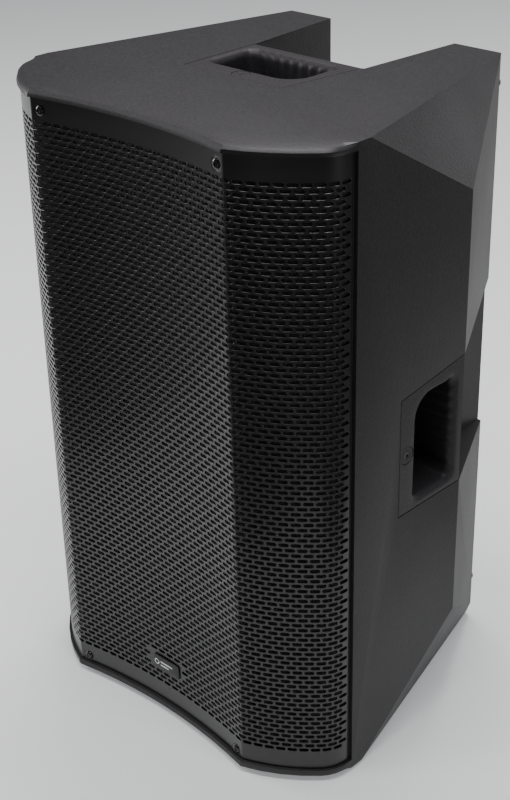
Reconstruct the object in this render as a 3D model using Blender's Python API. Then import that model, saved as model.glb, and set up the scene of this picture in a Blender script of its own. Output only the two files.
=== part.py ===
"""A 15 inch powered loudspeaker in a moulded cabinet, as the separate pieces it is assembled from.

Metres, +Z up, front towards -Y, +X to the right seen from the front. The origin is the bottom centre
of the bounding box. Pieces that touch keep a gap of GAP.
"""
import math

import bmesh
import bpy
from mathutils import Matrix, Vector

# ---- driving dimensions: cabinet -------------------------------------------------------------------
GAP = 0.0003
HEIGHT = 0.700
HALF_WIDTH = 0.219
FOOT_HEIGHT = 0.004
WALL = 0.004
REAR_Y = 0.1935                 # rear face of the two arms
REAR_HALF_WIDTH = 0.1445        # outer corner of an arm at the rear
CREASE_Y = 0.052                # where the side wall turns into the rear facet
SIDE_FRONT_Y = -0.1185          # front edge of the side walls
CHANNEL_Y = 0.060               # back wall of the channel between the arms
CHANNEL_HALF_WIDTH = 0.0748
CHANNEL_REAR_HALF_WIDTH = 0.0855
FACET_START_Y = -0.102          # front end of the sloped corner facets, on the top and bottom edges
FACET_TOP_Z = 0.610             # where a sloped facet meets the side crease
FACET_BOTTOM_Z = 0.122
FACET_REAR_BOTTOM_Z = 0.018      # where a lower facet ends on the arm's rear corner
CAVITY_FLOOR_Z = 0.010
CAVITY_ROOF_Z = 0.694

# ---- front: curved grille between a top and a bottom lip -------------------------------------------
RIDGE_X = 0.1315
RIDGE_Y = -0.1965
CENTRE_SAG = 0.013              # how far the middle panel is hollowed behind the ridges
CHEEK_RADIUS = 0.197
CORNER_RADIUS = 0.041
CHEEK_ANGLES = (math.radians(20), math.radians(45), math.radians(90))
LIP_PROUD = 0.0035
LIP_BOTTOM_Z = 0.0145
LIP_TOP_Z = 0.692
GRILLE_THICKNESS = 0.0012
GRILLE_BOTTOM_Z = 0.0155
GRILLE_TOP_Z = 0.691
FOAM_THICKNESS = 0.007
BAFFLE_FRONT_Y = -0.1205
BAFFLE_THICKNESS = 0.015
SCREW_X = 0.1215
SCREW_Z = (0.022, 0.6785)
BADGE_SIZE = (0.050, 0.019, 0.0016)
BADGE_Z = 0.066

# ---- handle inserts: u runs along the length, v from the front edge, w out of the cabinet ----------
HANDLE_FRONT_LENGTH = 0.1335
HANDLE_REAR_LENGTH = 0.148
HANDLE_WIDTH = 0.102
HANDLE_FLANGE = 0.003
HANDLE_DEPTH = 0.052
HANDLE_WALL = 0.0025
POCKET_U = (0.0115, 0.1275)
POCKET_V = (0.0235, 0.0865)
HANDLE_SCREW_UV = (0.068, 0.0115)
COUNTERBORE_RADIUS = 0.0098
SIDE_HANDLE_Z = 0.2875
TOP_HANDLE_X = -0.0757
PALM_FLOOR_X = (0.150, 0.1405)  # floor of the palm recess, at its front and at the rear face
PALM_Z = (0.2870, 0.4360)
PALM_REAR_Z = (0.2740, 0.4520)

# ---- rear panel ------------------------------------------------------------------------------------
PLATE_HALF_WIDTH = 0.068
PLATE_Z = (0.105, 0.505)
PLATE_THICKNESS = 0.0025
CUTOUT_HALF_WIDTH = 0.060
CUTOUT_Z = (0.113, 0.497)
CHASSIS_FRONT_Y = 0.0275
JACK_Z = 0.245
JACK_X = 0.036
KNOB_Z = 0.325
KNOB_X = (-0.040, 0.0, 0.040)
BUTTON_XZ = (-0.040, 0.291)
LED_XZ = (0.0, 0.291)
INLET_XZ = (-0.026, 0.155)
SWITCH_XZ = (0.034, 0.155)
FIN_COUNT = 11

# ---- drivers ---------------------------------------------------------------------------------------
WOOFER_Z = 0.212
WOOFER_Y = BAFFLE_FRONT_Y - 0.0053
HORN_Z = 0.545
HORN_THROAT_Y = -0.0215
HORN_SECTION_POINTS = 24
PORT_XZ = (0.165, 0.400)
PORT_RADIUS = 0.029
POLE_RADIUS = 0.0178
POLE_Y = 0.005
ROUND = 32
SMALL_ROUND = 16
TINY_ROUND = 10

PLATE_BACK_Y = CHANNEL_Y + GAP
PLATE_FACE_Y = PLATE_BACK_Y + PLATE_THICKNESS
FLAT = "flat"
SMOOTH = "smooth"

# ---- finishes: colour, roughness, metallic ---------------------------------------------------------
FINISHES = {
    "moulded_shell": ((0.045, 0.045, 0.048), 0.62, 0.0),
    "handle_plastic": ((0.035, 0.035, 0.038), 0.55, 0.0),
    "painted_steel": ((0.022, 0.022, 0.024), 0.38, 0.6),
    "foam": ((0.006, 0.006, 0.006), 0.95, 0.0),
    "black_screw": ((0.012, 0.012, 0.013), 0.22, 0.8),
    "badge_aluminium": ((0.03, 0.03, 0.032), 0.35, 0.7),
    "baffle_board": ((0.03, 0.03, 0.03), 0.8, 0.0),
    "panel_paint": ((0.02, 0.02, 0.022), 0.45, 0.5),
    "anodised": ((0.03, 0.03, 0.032), 0.4, 0.9),
    "zinc_steel": ((0.55, 0.55, 0.56), 0.35, 1.0),
    "circuit_board": ((0.02, 0.12, 0.05), 0.5, 0.0),
    "gloss_plastic": ((0.015, 0.015, 0.016), 0.25, 0.0),
    "soft_rubber": ((0.018, 0.018, 0.018), 0.85, 0.0),
    "cone_paper": ((0.02, 0.02, 0.021), 0.8, 0.0),
    "ferrite": ((0.06, 0.06, 0.065), 0.6, 0.2),
    "titanium": ((0.5, 0.5, 0.52), 0.3, 1.0),
    "wadding": ((0.7, 0.7, 0.68), 0.95, 0.0),
    "clear_lens": ((0.5, 0.9, 0.5), 0.15, 0.0),
    "lead_insulation": ((0.3, 0.02, 0.02), 0.5, 0.0),
}


# ---- scene and mesh helpers ------------------------------------------------------------------------
def clear_scene():
    """Remove every object of the open file."""
    for item in list(bpy.data.objects):
        bpy.data.objects.remove(item, do_unlink=True)


def finish(obj, name, shading):
    """Give a piece its own material, and shade round pieces smooth."""
    colour, roughness, metallic = FINISHES[name]
    material = bpy.data.materials.new(obj.name + "_" + name)
    material.use_nodes = True
    shader = material.node_tree.nodes["Principled BSDF"]
    shader.inputs["Base Color"].default_value = (*colour, 1.0)
    shader.inputs["Roughness"].default_value = roughness
    shader.inputs["Metallic"].default_value = metallic
    obj.data.materials.clear()
    obj.data.materials.append(material)
    if shading == SMOOTH:
        obj.data.shade_smooth()
        obj.data.set_sharp_from_angle(angle=math.radians(35))
    return obj


def add_mesh(name, points, faces, pivot=(0.0, 0.0, 0.0)):
    """Make an object from world points; its origin is put at pivot."""
    mesh = bpy.data.meshes.new(name)
    origin = Vector(pivot)
    mesh.from_pydata([Vector(p) - origin for p in points], [], faces)
    work = bmesh.new()
    work.from_mesh(mesh)
    bmesh.ops.recalc_face_normals(work, faces=work.faces)
    work.to_mesh(mesh)
    work.free()
    obj = bpy.data.objects.new(name, mesh)
    obj.location = origin
    bpy.context.scene.collection.objects.link(obj)
    return obj


def combine(target, tool, operation):
    """Apply one exact Boolean to target and remove the tool."""
    modifier = target.modifiers.new(operation.lower(), "BOOLEAN")
    modifier.operation = operation
    modifier.solver = "EXACT"
    modifier.object = tool
    bpy.context.view_layer.update()
    graph = bpy.context.evaluated_depsgraph_get()
    mesh = bpy.data.meshes.new_from_object(target.evaluated_get(graph))
    target.modifiers.clear()
    target.data = mesh
    bpy.data.objects.remove(tool, do_unlink=True)
    return target


def cut(target, *tools):
    """Cut each tool out of target."""
    for tool in tools:
        combine(target, tool, "DIFFERENCE")
    return target


def weld(target, *tools):
    """Join each tool onto target as one body."""
    for tool in tools:
        combine(target, tool, "UNION")
    return target


def skin(rings, closed_ends=True):
    """Faces of a tube through rings of equal length; the ends are capped or joined to each other."""
    count = len(rings[0])
    points = [p for ring in rings for p in ring]
    spans = len(rings) - 1 if closed_ends else len(rings)
    faces = []
    for row in range(spans):
        here = row * count
        there = ((row + 1) % len(rings)) * count
        for i in range(count):
            j = (i + 1) % count
            faces.append((here + i, here + j, there + j, there + i))
    if closed_ends:
        faces.append(tuple(range(count)))
        faces.append(tuple(range(len(points) - count, len(points))))
    return points, faces


def place(axis, a, b, t):
    """A point from its two outline coordinates and its place t along the named axis."""
    if axis == "X":
        return (t, a, b)
    if axis == "Y":
        return (a, t, b)
    return (a, b, t)


def prism(name, outline, low, high, axis="Z", pivot=(0.0, 0.0, 0.0)):
    """Extrude a flat outline along an axis."""
    rings = [[place(axis, a, b, t) for a, b in outline] for t in (low, high)]
    return add_mesh(name, *skin(rings), pivot)


def box(name, x, y, z, pivot=(0.0, 0.0, 0.0)):
    """A box from its three (low, high) ranges."""
    outline = [(x[0], y[0]), (x[1], y[0]), (x[1], y[1]), (x[0], y[1])]
    return prism(name, outline, z[0], z[1], "Z", pivot)


def circle(centre, radius, count):
    """Points of a circle around a centre."""
    turn = 2 * math.pi / count
    return [(centre[0] + radius * math.cos(turn * i), centre[1] + radius * math.sin(turn * i))
            for i in range(count)]


def rod(name, centre, radius, low, high, axis="Y", count=SMALL_ROUND):
    """A round bar along an axis."""
    return prism(name, circle(centre, radius, count), low, high, axis)


def turned(name, profile, centre, axis="Y", count=ROUND, pivot=(0.0, 0.0, 0.0)):
    """Turn a (radius, distance) profile round an axis; distance is measured along the axis.

    A profile that starts and ends on the axis is a solid, any other is closed into a ring.
    """
    points = []
    rows = []
    for radius, distance in profile:
        steps = 1 if radius == 0 else count
        ring = circle(centre, radius, steps)
        rows.append(list(range(len(points), len(points) + steps)))
        points += [place(axis, a, b, distance) for a, b in ring]
    pairs = list(zip(rows, rows[1:]))
    if profile[0][0] > 0:
        pairs.append((rows[-1], rows[0]))
    faces = []
    for first, second in pairs:
        for i in range(count):
            j = (i + 1) % count
            corners = [first[i % len(first)], first[j % len(first)],
                       second[j % len(second)], second[i % len(second)]]
            corners = list(dict.fromkeys(corners))
            if len(corners) > 2:
                faces.append(corners)
    return add_mesh(name, points, faces, pivot)


def offset_path(path, distance, closed=False):
    """Shift a path to its right-hand side, with mitred corners."""
    count = len(path)
    shifted = []
    for i, point in enumerate(path):
        before = path[i - 1] if closed or i > 0 else None
        after = path[(i + 1) % count] if closed or i < count - 1 else None
        normals = []
        for a, b in ((before, point), (point, after)):
            if a is None or b is None:
                continue
            run = Vector((b[0] - a[0], b[1] - a[1])).normalized()
            normals.append(Vector((run.y, -run.x)))
        mean = sum(normals, Vector((0.0, 0.0))).normalized()
        reach = distance / mean.dot(normals[0])
        shifted.append((point[0] + mean.x * reach, point[1] + mean.y * reach))
    return shifted


def rounded(corners, steps=4):
    """A polygon whose corners (x, y, radius) are rounded with arcs."""
    outline = []
    count = len(corners)
    for i, (x, y, radius) in enumerate(corners):
        here = Vector((x, y))
        back = (Vector(corners[i - 1][:2]) - here).normalized()
        ahead = (Vector(corners[(i + 1) % count][:2]) - here).normalized()
        half = back.angle(ahead) / 2
        middle = here + (back + ahead).normalized() * (radius / math.sin(half))
        start = here + back * (radius / math.tan(half)) - middle
        sweep = math.pi - 2 * half
        turn = 1 if back.x * ahead.y - back.y * ahead.x < 0 else -1
        for k in range(steps + 1):
            spoke = Matrix.Rotation(turn * sweep * k / steps, 2) @ start
            outline.append((middle.x + spoke.x, middle.y + spoke.y))
    return outline


# ---- cabinet ---------------------------------------------------------------------------------------
def front_half_curve():
    """The grille's outer face from the middle to the right end: hollow panel, ridge, cheek, corner."""
    hollow = (RIDGE_X ** 2 + CENTRE_SAG ** 2) / (2 * CENTRE_SAG)
    reach = math.asin(RIDGE_X / hollow)
    steps = 5
    curve = [(hollow * math.sin(reach * i / steps),
              RIDGE_Y + CENTRE_SAG - hollow * (1 - math.cos(reach * i / steps))) for i in range(steps + 1)]
    x, y = curve[-1]
    start, middle, end = CHEEK_ANGLES
    for radius, a0, a1, count in ((CHEEK_RADIUS, start, middle, 4), (CORNER_RADIUS, middle, end, 4)):
        for i in range(1, count + 1):
            angle = a0 + (a1 - a0) * i / count
            curve.append((x + radius * (math.sin(angle) - math.sin(a0)),
                          y + radius * (math.cos(a0) - math.cos(angle))))
        x, y = curve[-1]
    return curve


def front_curve():
    """The whole front curve from the left end to the right end."""
    half = front_half_curve()
    return [(-x, y) for x, y in reversed(half[1:])] + half


def rear_outline():
    """The cabinet's plan from the right side wall round the arms and channel to the left side wall."""
    right = [(HALF_WIDTH, CREASE_Y), (REAR_HALF_WIDTH, REAR_Y), (CHANNEL_REAR_HALF_WIDTH, REAR_Y),
             (CHANNEL_HALF_WIDTH, CHANNEL_Y)]
    return right + [(-x, y) for x, y in reversed(right)]


def slice_corners(obj, inset):
    """Slice the four sloped facets off a body, each moved inwards by inset."""
    work = bmesh.new()
    work.from_mesh(obj.data)
    middle = Vector((0.0, 0.0, HEIGHT / 2))
    for side in (-1, 1):
        for edge_z, crease_z, rear_z in ((HEIGHT, FACET_TOP_Z, HEIGHT),
                                         (FOOT_HEIGHT, FACET_BOTTOM_Z, FACET_REAR_BOTTOM_Z)):
            front = Vector((side * HALF_WIDTH, FACET_START_Y, edge_z))
            low = Vector((side * HALF_WIDTH, CREASE_Y, crease_z))
            rear = Vector((side * REAR_HALF_WIDTH, REAR_Y, rear_z))
            normal = (low - front).cross(rear - front).normalized()
            if normal.dot(front - middle) < 0:
                normal = -normal
            geometry = list(work.verts) + list(work.edges) + list(work.faces)
            bmesh.ops.bisect_plane(work, geom=geometry, plane_co=front - normal * inset, plane_no=normal,
                                   clear_outer=True, dist=1e-6)
            open_edges = [e for e in work.edges if len(e.link_faces) == 1]
            if open_edges:
                bmesh.ops.contextual_create(work, geom=open_edges)
    bmesh.ops.recalc_face_normals(work, faces=work.faces)
    work.to_mesh(obj.data)
    work.free()
    return obj


def palm_block(name, side, grow):
    """The palm recess behind a side handle, or the same block grown by a wall's thickness."""
    reach = 0.06
    stretch = reach / (REAR_Y - CREASE_Y)
    low = PALM_REAR_Z[0] + (PALM_REAR_Z[0] - PALM_Z[0]) * stretch
    high = PALM_REAR_Z[1] + (PALM_REAR_Z[1] - PALM_Z[1]) * stretch
    floor = PALM_FLOOR_X[1] + (PALM_FLOOR_X[1] - PALM_FLOOR_X[0]) * stretch
    rings = []
    for y, x, z0, z1 in ((CREASE_Y + 0.0006 - grow, PALM_FLOOR_X[0], *PALM_Z),
                         (REAR_Y + reach, floor, low, high)):
        inner = side * (x - grow)
        outer = side * (HALF_WIDTH + 0.05)
        rings.append([(inner, y, z0 - grow), (outer, y, z0 - grow), (outer, y, z1 + grow),
                      (inner, y, z1 + grow)])
    return add_mesh(name, *skin(rings))


class HandlePlace:
    """Where a handle insert sits: maps its own u, v, w to the cabinet."""

    def __init__(self, name, corner, along, across, outward):
        self.name = name
        self.corner = Vector(corner)
        self.along = Vector(along)
        self.across = Vector(across)
        self.outward = Vector(outward)

    def point(self, u, v, w):
        """The cabinet point of the insert's coordinates."""
        return self.corner + self.along * u + self.across * v + self.outward * w

    def block(self, name, outline, low, high):
        """Extrude an outline in u, v from w = low to w = high."""
        rings = [[self.point(u, v, w) for u, v in outline] for w in (low, high)]
        return add_mesh(name, *skin(rings))


def handle_places():
    """The top insert and the two side inserts."""
    front_y = CREASE_Y - HANDLE_WIDTH
    return [
        HandlePlace("top_handle", (TOP_HANDLE_X, CHANNEL_Y - HANDLE_WIDTH, HEIGHT),
                    (1, 0, 0), (0, 1, 0), (0, 0, 1)),
        HandlePlace("side_handle_left", (-HALF_WIDTH, front_y, SIDE_HANDLE_Z),
                    (0, 0, 1), (0, 1, 0), (-1, 0, 0)),
        HandlePlace("side_handle_right", (HALF_WIDTH, front_y, SIDE_HANDLE_Z),
                    (0, 0, 1), (0, 1, 0), (1, 0, 0)),
    ]


def flange_outline(grow=0.0, beyond=0.0):
    """The insert's outline: one square end, one slanted end; beyond extends the rear edge."""
    slope = (HANDLE_REAR_LENGTH - HANDLE_FRONT_LENGTH) / HANDLE_WIDTH
    front = -grow
    rear = HANDLE_WIDTH + beyond
    return [(-grow, front), (HANDLE_FRONT_LENGTH + slope * front + grow, front),
            (HANDLE_FRONT_LENGTH + slope * rear + grow, rear), (-grow, rear)]


def pocket_outline(grow=0.0):
    """The hand pocket, with its large corner at the slanted front end."""
    u0, u1 = POCKET_U[0] - grow, POCKET_U[1] + grow
    v0, v1 = POCKET_V[0] - grow, POCKET_V[1] + grow
    return rounded([(u0, v0, 0.011 + grow), (u1, v0, 0.026 + grow), (u1, v1, 0.010 + grow),
                    (u0, v1, 0.010 + grow)], 4)


def screw_outline(radius, count=SMALL_ROUND):
    """A circle round the insert's screw."""
    return circle(HANDLE_SCREW_UV, radius, count)


def body_solid(name):
    """The cabinet's outer form, its front lips rounded at the top and bottom edges."""
    lip = offset_path(front_curve(), LIP_PROUD)
    levels = ((FOOT_HEIGHT, -0.0050), (FOOT_HEIGHT + 0.0015, -0.0020), (FOOT_HEIGHT + 0.004, 0.0),
              (HEIGHT - 0.0080, 0.0), (HEIGHT - 0.0045, -0.0012), (HEIGHT - 0.0015, -0.0042),
              (HEIGHT, -0.0085))
    rings = []
    for z, pull in levels:
        curve = offset_path(lip, pull)
        curve[0] = (-HALF_WIDTH, SIDE_FRONT_Y)
        curve[-1] = (HALF_WIDTH, SIDE_FRONT_Y)
        rings.append([(x, y, z) for x, y in curve + rear_outline()])
    return slice_corners(add_mesh(name, *skin(rings)), 0.0)


def cavity_solid(places):
    """The space inside the cabinet, kept clear of the palm recesses and the handle ledges."""
    wide = HALF_WIDTH - WALL
    front = BAFFLE_FRONT_Y + BAFFLE_THICKNESS - 0.001
    outline = [(-HALF_WIDTH, front), (HALF_WIDTH, front)] + rear_outline()
    outline = offset_path(outline, -WALL, closed=True)
    outline[0] = (-wide, front)
    outline[1] = (wide, front)
    cavity = prism("cavity", outline, CAVITY_FLOOR_Z, CAVITY_ROOF_Z)
    slice_corners(cavity, WALL)
    for side in (-1, 1):
        cut(cavity, palm_block("palm_keep", side, WALL - 0.0005))
    for spot in places:
        ledge = [(-0.005, -0.005), (HANDLE_REAR_LENGTH + 0.004, -0.005),
                 (HANDLE_REAR_LENGTH + 0.004, HANDLE_WIDTH + 0.01), (-0.005, HANDLE_WIDTH + 0.01)]
        cut(cavity, spot.block("ledge_keep", ledge, -0.0085, 0.01))
    return cavity


def cabinet_shell(places):
    """The moulded cabinet: one shell with lips, arms, channel, palm recesses and openings."""
    shell = body_solid("cabinet_shell")
    bay_z = (LIP_BOTTOM_Z, LIP_TOP_Z)
    inner = HALF_WIDTH - WALL
    baffle_back = BAFFLE_FRONT_Y + BAFFLE_THICKNESS
    cut(shell, cavity_solid(places))
    cut(shell, box("bay", (-0.3, 0.3), (-0.3, SIDE_FRONT_Y), bay_z))
    cut(shell, box("baffle_seat", (-inner, inner), (-0.2, baffle_back + GAP), bay_z))
    for side in (-1, 1):
        cut(shell, palm_block("palm", side, 0.0))
    for spot in places:
        cut(shell, spot.block("flange_seat", flange_outline(GAP, 0.0012), -HANDLE_FLANGE - GAP, 0.02))
        cut(shell, spot.block("cup_hole", pocket_outline(HANDLE_WALL + 0.0004), -0.012, 0.02))
        cut(shell, spot.block("screw_hole", screw_outline(0.0023, TINY_ROUND), -0.012, 0.02))
    cut(shell, box("panel_hole", (-CUTOUT_HALF_WIDTH, CUTOUT_HALF_WIDTH), (CHANNEL_Y - 0.01, CHANNEL_Y + 0.01),
                   CUTOUT_Z))
    cut(shell, rod("pole_hole", (0.0, POLE_Y), 0.0222, -0.01, 0.02, "Z", ROUND))
    return finish(shell, "moulded_shell", FLAT)


def handle_inserts(places):
    """A cup with a flange for each handle, and the screw that holds it."""
    for spot in places:
        handle = spot.block(spot.name, flange_outline(), -HANDLE_FLANGE, 0.0)
        weld(handle, spot.block("cup", pocket_outline(HANDLE_WALL), -HANDLE_DEPTH - HANDLE_WALL, -0.001))
        cut(handle, spot.block("pocket", pocket_outline(), -HANDLE_DEPTH, 0.01))
        cut(handle, spot.block("counterbore", screw_outline(COUNTERBORE_RADIUS), -0.0014, 0.01))
        cut(handle, spot.block("screw_hole", screw_outline(0.0023, TINY_ROUND), -0.02, 0.01))
        finish(handle, "handle_plastic", FLAT)
        screw = spot.block(spot.name + "_screw", screw_outline(0.0052), -0.0011, 0.0)
        weld(screw, spot.block("shank", screw_outline(0.0019, TINY_ROUND), -0.0078, -0.0008))
        finish(screw, "black_screw", SMOOTH)


def front_baffle():
    """The driver board with its four grille posts."""
    inner = HALF_WIDTH - WALL - GAP
    back = BAFFLE_FRONT_Y + BAFFLE_THICKNESS
    board = box("front_baffle", (-inner, inner), (BAFFLE_FRONT_Y, back), (LIP_BOTTOM_Z + GAP, LIP_TOP_Z - GAP))
    post_end = RIDGE_Y + CENTRE_SAG - 0.0090
    for x in (-SCREW_X, SCREW_X):
        for z in SCREW_Z:
            weld(board, rod("post", (x, z), 0.0055, post_end, BAFFLE_FRONT_Y + 0.001, "Y", TINY_ROUND))
            cut(board, rod("post_bore", (x, z), 0.0021, post_end - 0.01, post_end + 0.020, "Y", 8))
    cut(board, rod("woofer_hole", (0.0, WOOFER_Z), 0.1785, -0.2, 0.0, "Y", ROUND))
    cut(board, box("horn_hole", (-0.130, 0.130), (-0.2, 0.0), (HORN_Z - 0.085, HORN_Z + 0.085)))
    for side in (-1, 1):
        cut(board, rod("port_hole", (side * PORT_XZ[0], PORT_XZ[1]), PORT_RADIUS + 0.0023, -0.2, 0.0, "Y", 24))
    return finish(board, "baffle_board", FLAT)


def sheet(name, depth, thickness, low, high):
    """A sheet that follows the front curve at a depth behind the grille's outer face."""
    outer = offset_path(front_curve(), -depth)
    inner = offset_path(front_curve(), -depth - thickness)
    return prism(name, outer + inner[::-1], low, high)


def front_grille():
    """The curved steel grille, the foam behind it, the four screws and the badge plate."""
    grille = sheet("front_grille", 0.0, GRILLE_THICKNESS, GRILLE_BOTTOM_Z, GRILLE_TOP_Z)
    foam = sheet("grille_foam", GRILLE_THICKNESS + 0.0015, FOAM_THICKNESS, GRILLE_BOTTOM_Z + 0.001,
                 GRILLE_TOP_Z - 0.001)
    number = 1
    for x in (-SCREW_X, SCREW_X):
        for z in SCREW_Z:
            cut(grille, rod("hole", (x, z), 0.0023, -0.21, -0.18, "Y", 8))
            cut(foam, rod("hole", (x, z), 0.0062, -0.21, -0.17, "Y", TINY_ROUND))
            face = grille_face_y(x) - 0.0015
            profile = [(0.0, face - 0.0024), (0.0028, face - 0.0021), (0.0049, face - 0.0011),
                       (0.0056, face), (0.0018, face), (0.0018, face + 0.018), (0.0, face + 0.018)]
            screw = turned("grille_screw_%d" % number, profile, (x, z), "Y", SMALL_ROUND)
            finish(screw, "black_screw", SMOOTH)
            number += 1
    finish(grille, "painted_steel", FLAT)
    finish(foam, "foam", FLAT)
    width, height, thick = BADGE_SIZE
    back = RIDGE_Y + CENTRE_SAG - 0.0009
    badge = box("badge", (-width / 2, width / 2), (back - thick, back),
                (BADGE_Z - height / 2, BADGE_Z + height / 2))
    finish(badge, "badge_aluminium", FLAT)


def grille_face_y(x):
    """The outer face of the hollow middle panel at a place across the front."""
    hollow = (RIDGE_X ** 2 + CENTRE_SAG ** 2) / (2 * CENTRE_SAG)
    return RIDGE_Y + CENTRE_SAG - (hollow - math.sqrt(hollow ** 2 - x ** 2))


# ---- woofer and horn -------------------------------------------------------------------------------
def woofer():
    """Basket, magnet, cone with its dust cap and voice coil, surround and spider."""
    centre = (0.0, WOOFER_Z)

    def at(profile):
        return [(radius, WOOFER_Y + depth) for radius, depth in profile]

    basket = turned("woofer_basket", at([
        (0.1700, 0.0000), (0.1900, 0.0000), (0.1900, 0.0050), (0.1765, 0.0050), (0.1765, 0.0130),
        (0.0820, 0.0960), (0.0820, 0.1000), (0.0430, 0.1000), (0.0430, 0.0965), (0.0775, 0.0965),
        (0.1700, 0.0130)]), centre, "Y", ROUND)
    for turn in range(2):
        angle = math.radians(45 + 90 * turn)
        run = Vector((math.cos(angle), math.sin(angle)))
        across = Vector((-run.y, run.x))
        reach = ((-0.2, -0.028), (0.2, -0.028), (0.2, 0.028), (-0.2, 0.028))
        corners = [run * a + across * b for a, b in reach]
        outline = [(c.x, c.y + WOOFER_Z) for c in corners]
        cut(basket, prism("window", outline, WOOFER_Y + 0.030, WOOFER_Y + 0.078, "Y"))
    finish(basket, "panel_paint", SMOOTH)
    magnet = turned("woofer_magnet", at([
        (0.0, 0.1003), (0.0362, 0.1003), (0.0362, 0.1350), (0.0402, 0.1350), (0.0402, 0.1003),
        (0.0780, 0.1003), (0.0780, 0.1500), (0.0, 0.1500)]), centre, "Y", ROUND)
    finish(magnet, "ferrite", SMOOTH)
    pivot = (0.0, WOOFER_Y, WOOFER_Z)
    cone = turned("woofer_cone", at([
        (0.0394, 0.0775), (0.1545, 0.0095), (0.1550, 0.0110), (0.0394, 0.0792)]), centre, "Y", ROUND, pivot)
    finish(cone, "cone_paper", SMOOTH)
    cap = [(0.0, 0.0570), (0.0180, 0.0585), (0.0340, 0.0628), (0.0490, 0.0700), (0.0484, 0.0709),
           (0.0336, 0.0638), (0.0178, 0.0594), (0.0, 0.0580)]
    finish(turned("dust_cap", at(cap), centre, "Y", ROUND, pivot), "cone_paper", SMOOTH)
    coil = turned("voice_coil", at([(0.0376, 0.0720), (0.0390, 0.0720), (0.0390, 0.1180), (0.0376, 0.1180)]),
                  centre, "Y", ROUND, pivot)
    finish(coil, "titanium", SMOOTH)
    roll = []
    for radius, turn in ((0.0070, 1), (0.0060, -1)):
        steps = 5
        for i in range(steps + 1):
            angle = math.pi * (i / steps if turn == 1 else 1 - i / steps)
            roll.append((0.16245 - radius * math.cos(angle), 0.0095 - radius * math.sin(angle)))
    finish(turned("woofer_surround", at(roll), centre, "Y", ROUND), "soft_rubber", SMOOTH)
    spider = turned("woofer_spider", at([(0.0394, 0.0825), (0.0905, 0.0825), (0.0905, 0.0833),
                                         (0.0394, 0.0833)]), centre, "Y", ROUND)
    finish(spider, "cone_paper", SMOOTH)


def squircle(half_width, half_height, power):
    """A superellipse about the horn's axis: power 2 is round, a high power is nearly square."""
    outline = []
    for i in range(HORN_SECTION_POINTS):
        angle = 2 * math.pi * (i + 0.5) / HORN_SECTION_POINTS
        c, s = math.cos(angle), math.sin(angle)
        outline.append((math.copysign(abs(c) ** (2 / power), c) * half_width,
                        HORN_Z + math.copysign(abs(s) ** (2 / power), s) * half_height))
    return outline


def horn():
    """The flared horn with its flange, the compression driver and its diaphragm."""
    front = BAFFLE_FRONT_Y - 0.0053
    back = BAFFLE_FRONT_Y - GAP
    wall = 0.003
    flare = [(0.0, 0.125, 0.080, 8.0), (0.25, 0.088, 0.056, 6.0), (0.5, 0.055, 0.036, 4.0),
             (0.75, 0.028, 0.022, 3.0), (1.0, 0.0125, 0.0125, 2.0)]
    sections = [(front, 0.140, 0.095, 12.0), (back, 0.140, 0.095, 12.0), (back, 0.128, 0.083, 8.0)]
    sections += [(front + (HORN_THROAT_Y - front) * t, w + wall, h + wall, p) for t, w, h, p in flare[1:]]
    sections += [(front + (HORN_THROAT_Y - front) * t, w, h, p) for t, w, h, p in reversed(flare)]
    rings = [[(x, y, z) for x, z in squircle(w, h, p)] for y, w, h, p in sections]
    finish(add_mesh("hf_horn", *skin(rings, closed_ends=False)), "gloss_plastic", SMOOTH)
    start = HORN_THROAT_Y + GAP
    driver = [(0.0, 0.030), (0.026, 0.030), (0.026, 0.012), (0.0125, 0.012), (0.0125, 0.0), (0.030, 0.0),
              (0.030, 0.010), (0.045, 0.010), (0.045, 0.050), (0.040, 0.056), (0.0, 0.056)]
    centre = (0.0, HORN_Z)
    body = turned("compression_driver", [(r, start + d) for r, d in driver], centre, "Y", 24)
    finish(body, "ferrite", SMOOTH)
    dome = [(0.0, 0.0170), (0.010, 0.0182), (0.018, 0.0212), (0.0235, 0.0245), (0.0235, 0.0253),
            (0.0175, 0.0221), (0.0097, 0.0191), (0.0, 0.0180)]
    diaphragm = turned("hf_diaphragm", [(r, start + d) for r, d in dome], centre, "Y", 20,
                       (0.0, start, HORN_Z))
    finish(diaphragm, "titanium", SMOOTH)


def port_tubes():
    """Two flared bass reflex tubes through the baffle."""
    front = BAFFLE_FRONT_Y - 0.0033
    for name, side in (("port_tube_left", -1), ("port_tube_right", 1)):
        inner, outer, flange = PORT_RADIUS, PORT_RADIUS + 0.002, PORT_RADIUS + 0.007
        profile = [(inner + 0.003, front), (flange, front), (flange, front + 0.003), (outer, front + 0.003),
                   (outer, front + 0.088), (inner, front + 0.088), (inner, front + 0.006)]
        centre = (side * PORT_XZ[0], PORT_XZ[1])
        finish(turned(name, profile, centre, "Y", 24), "gloss_plastic", SMOOTH)


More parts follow.
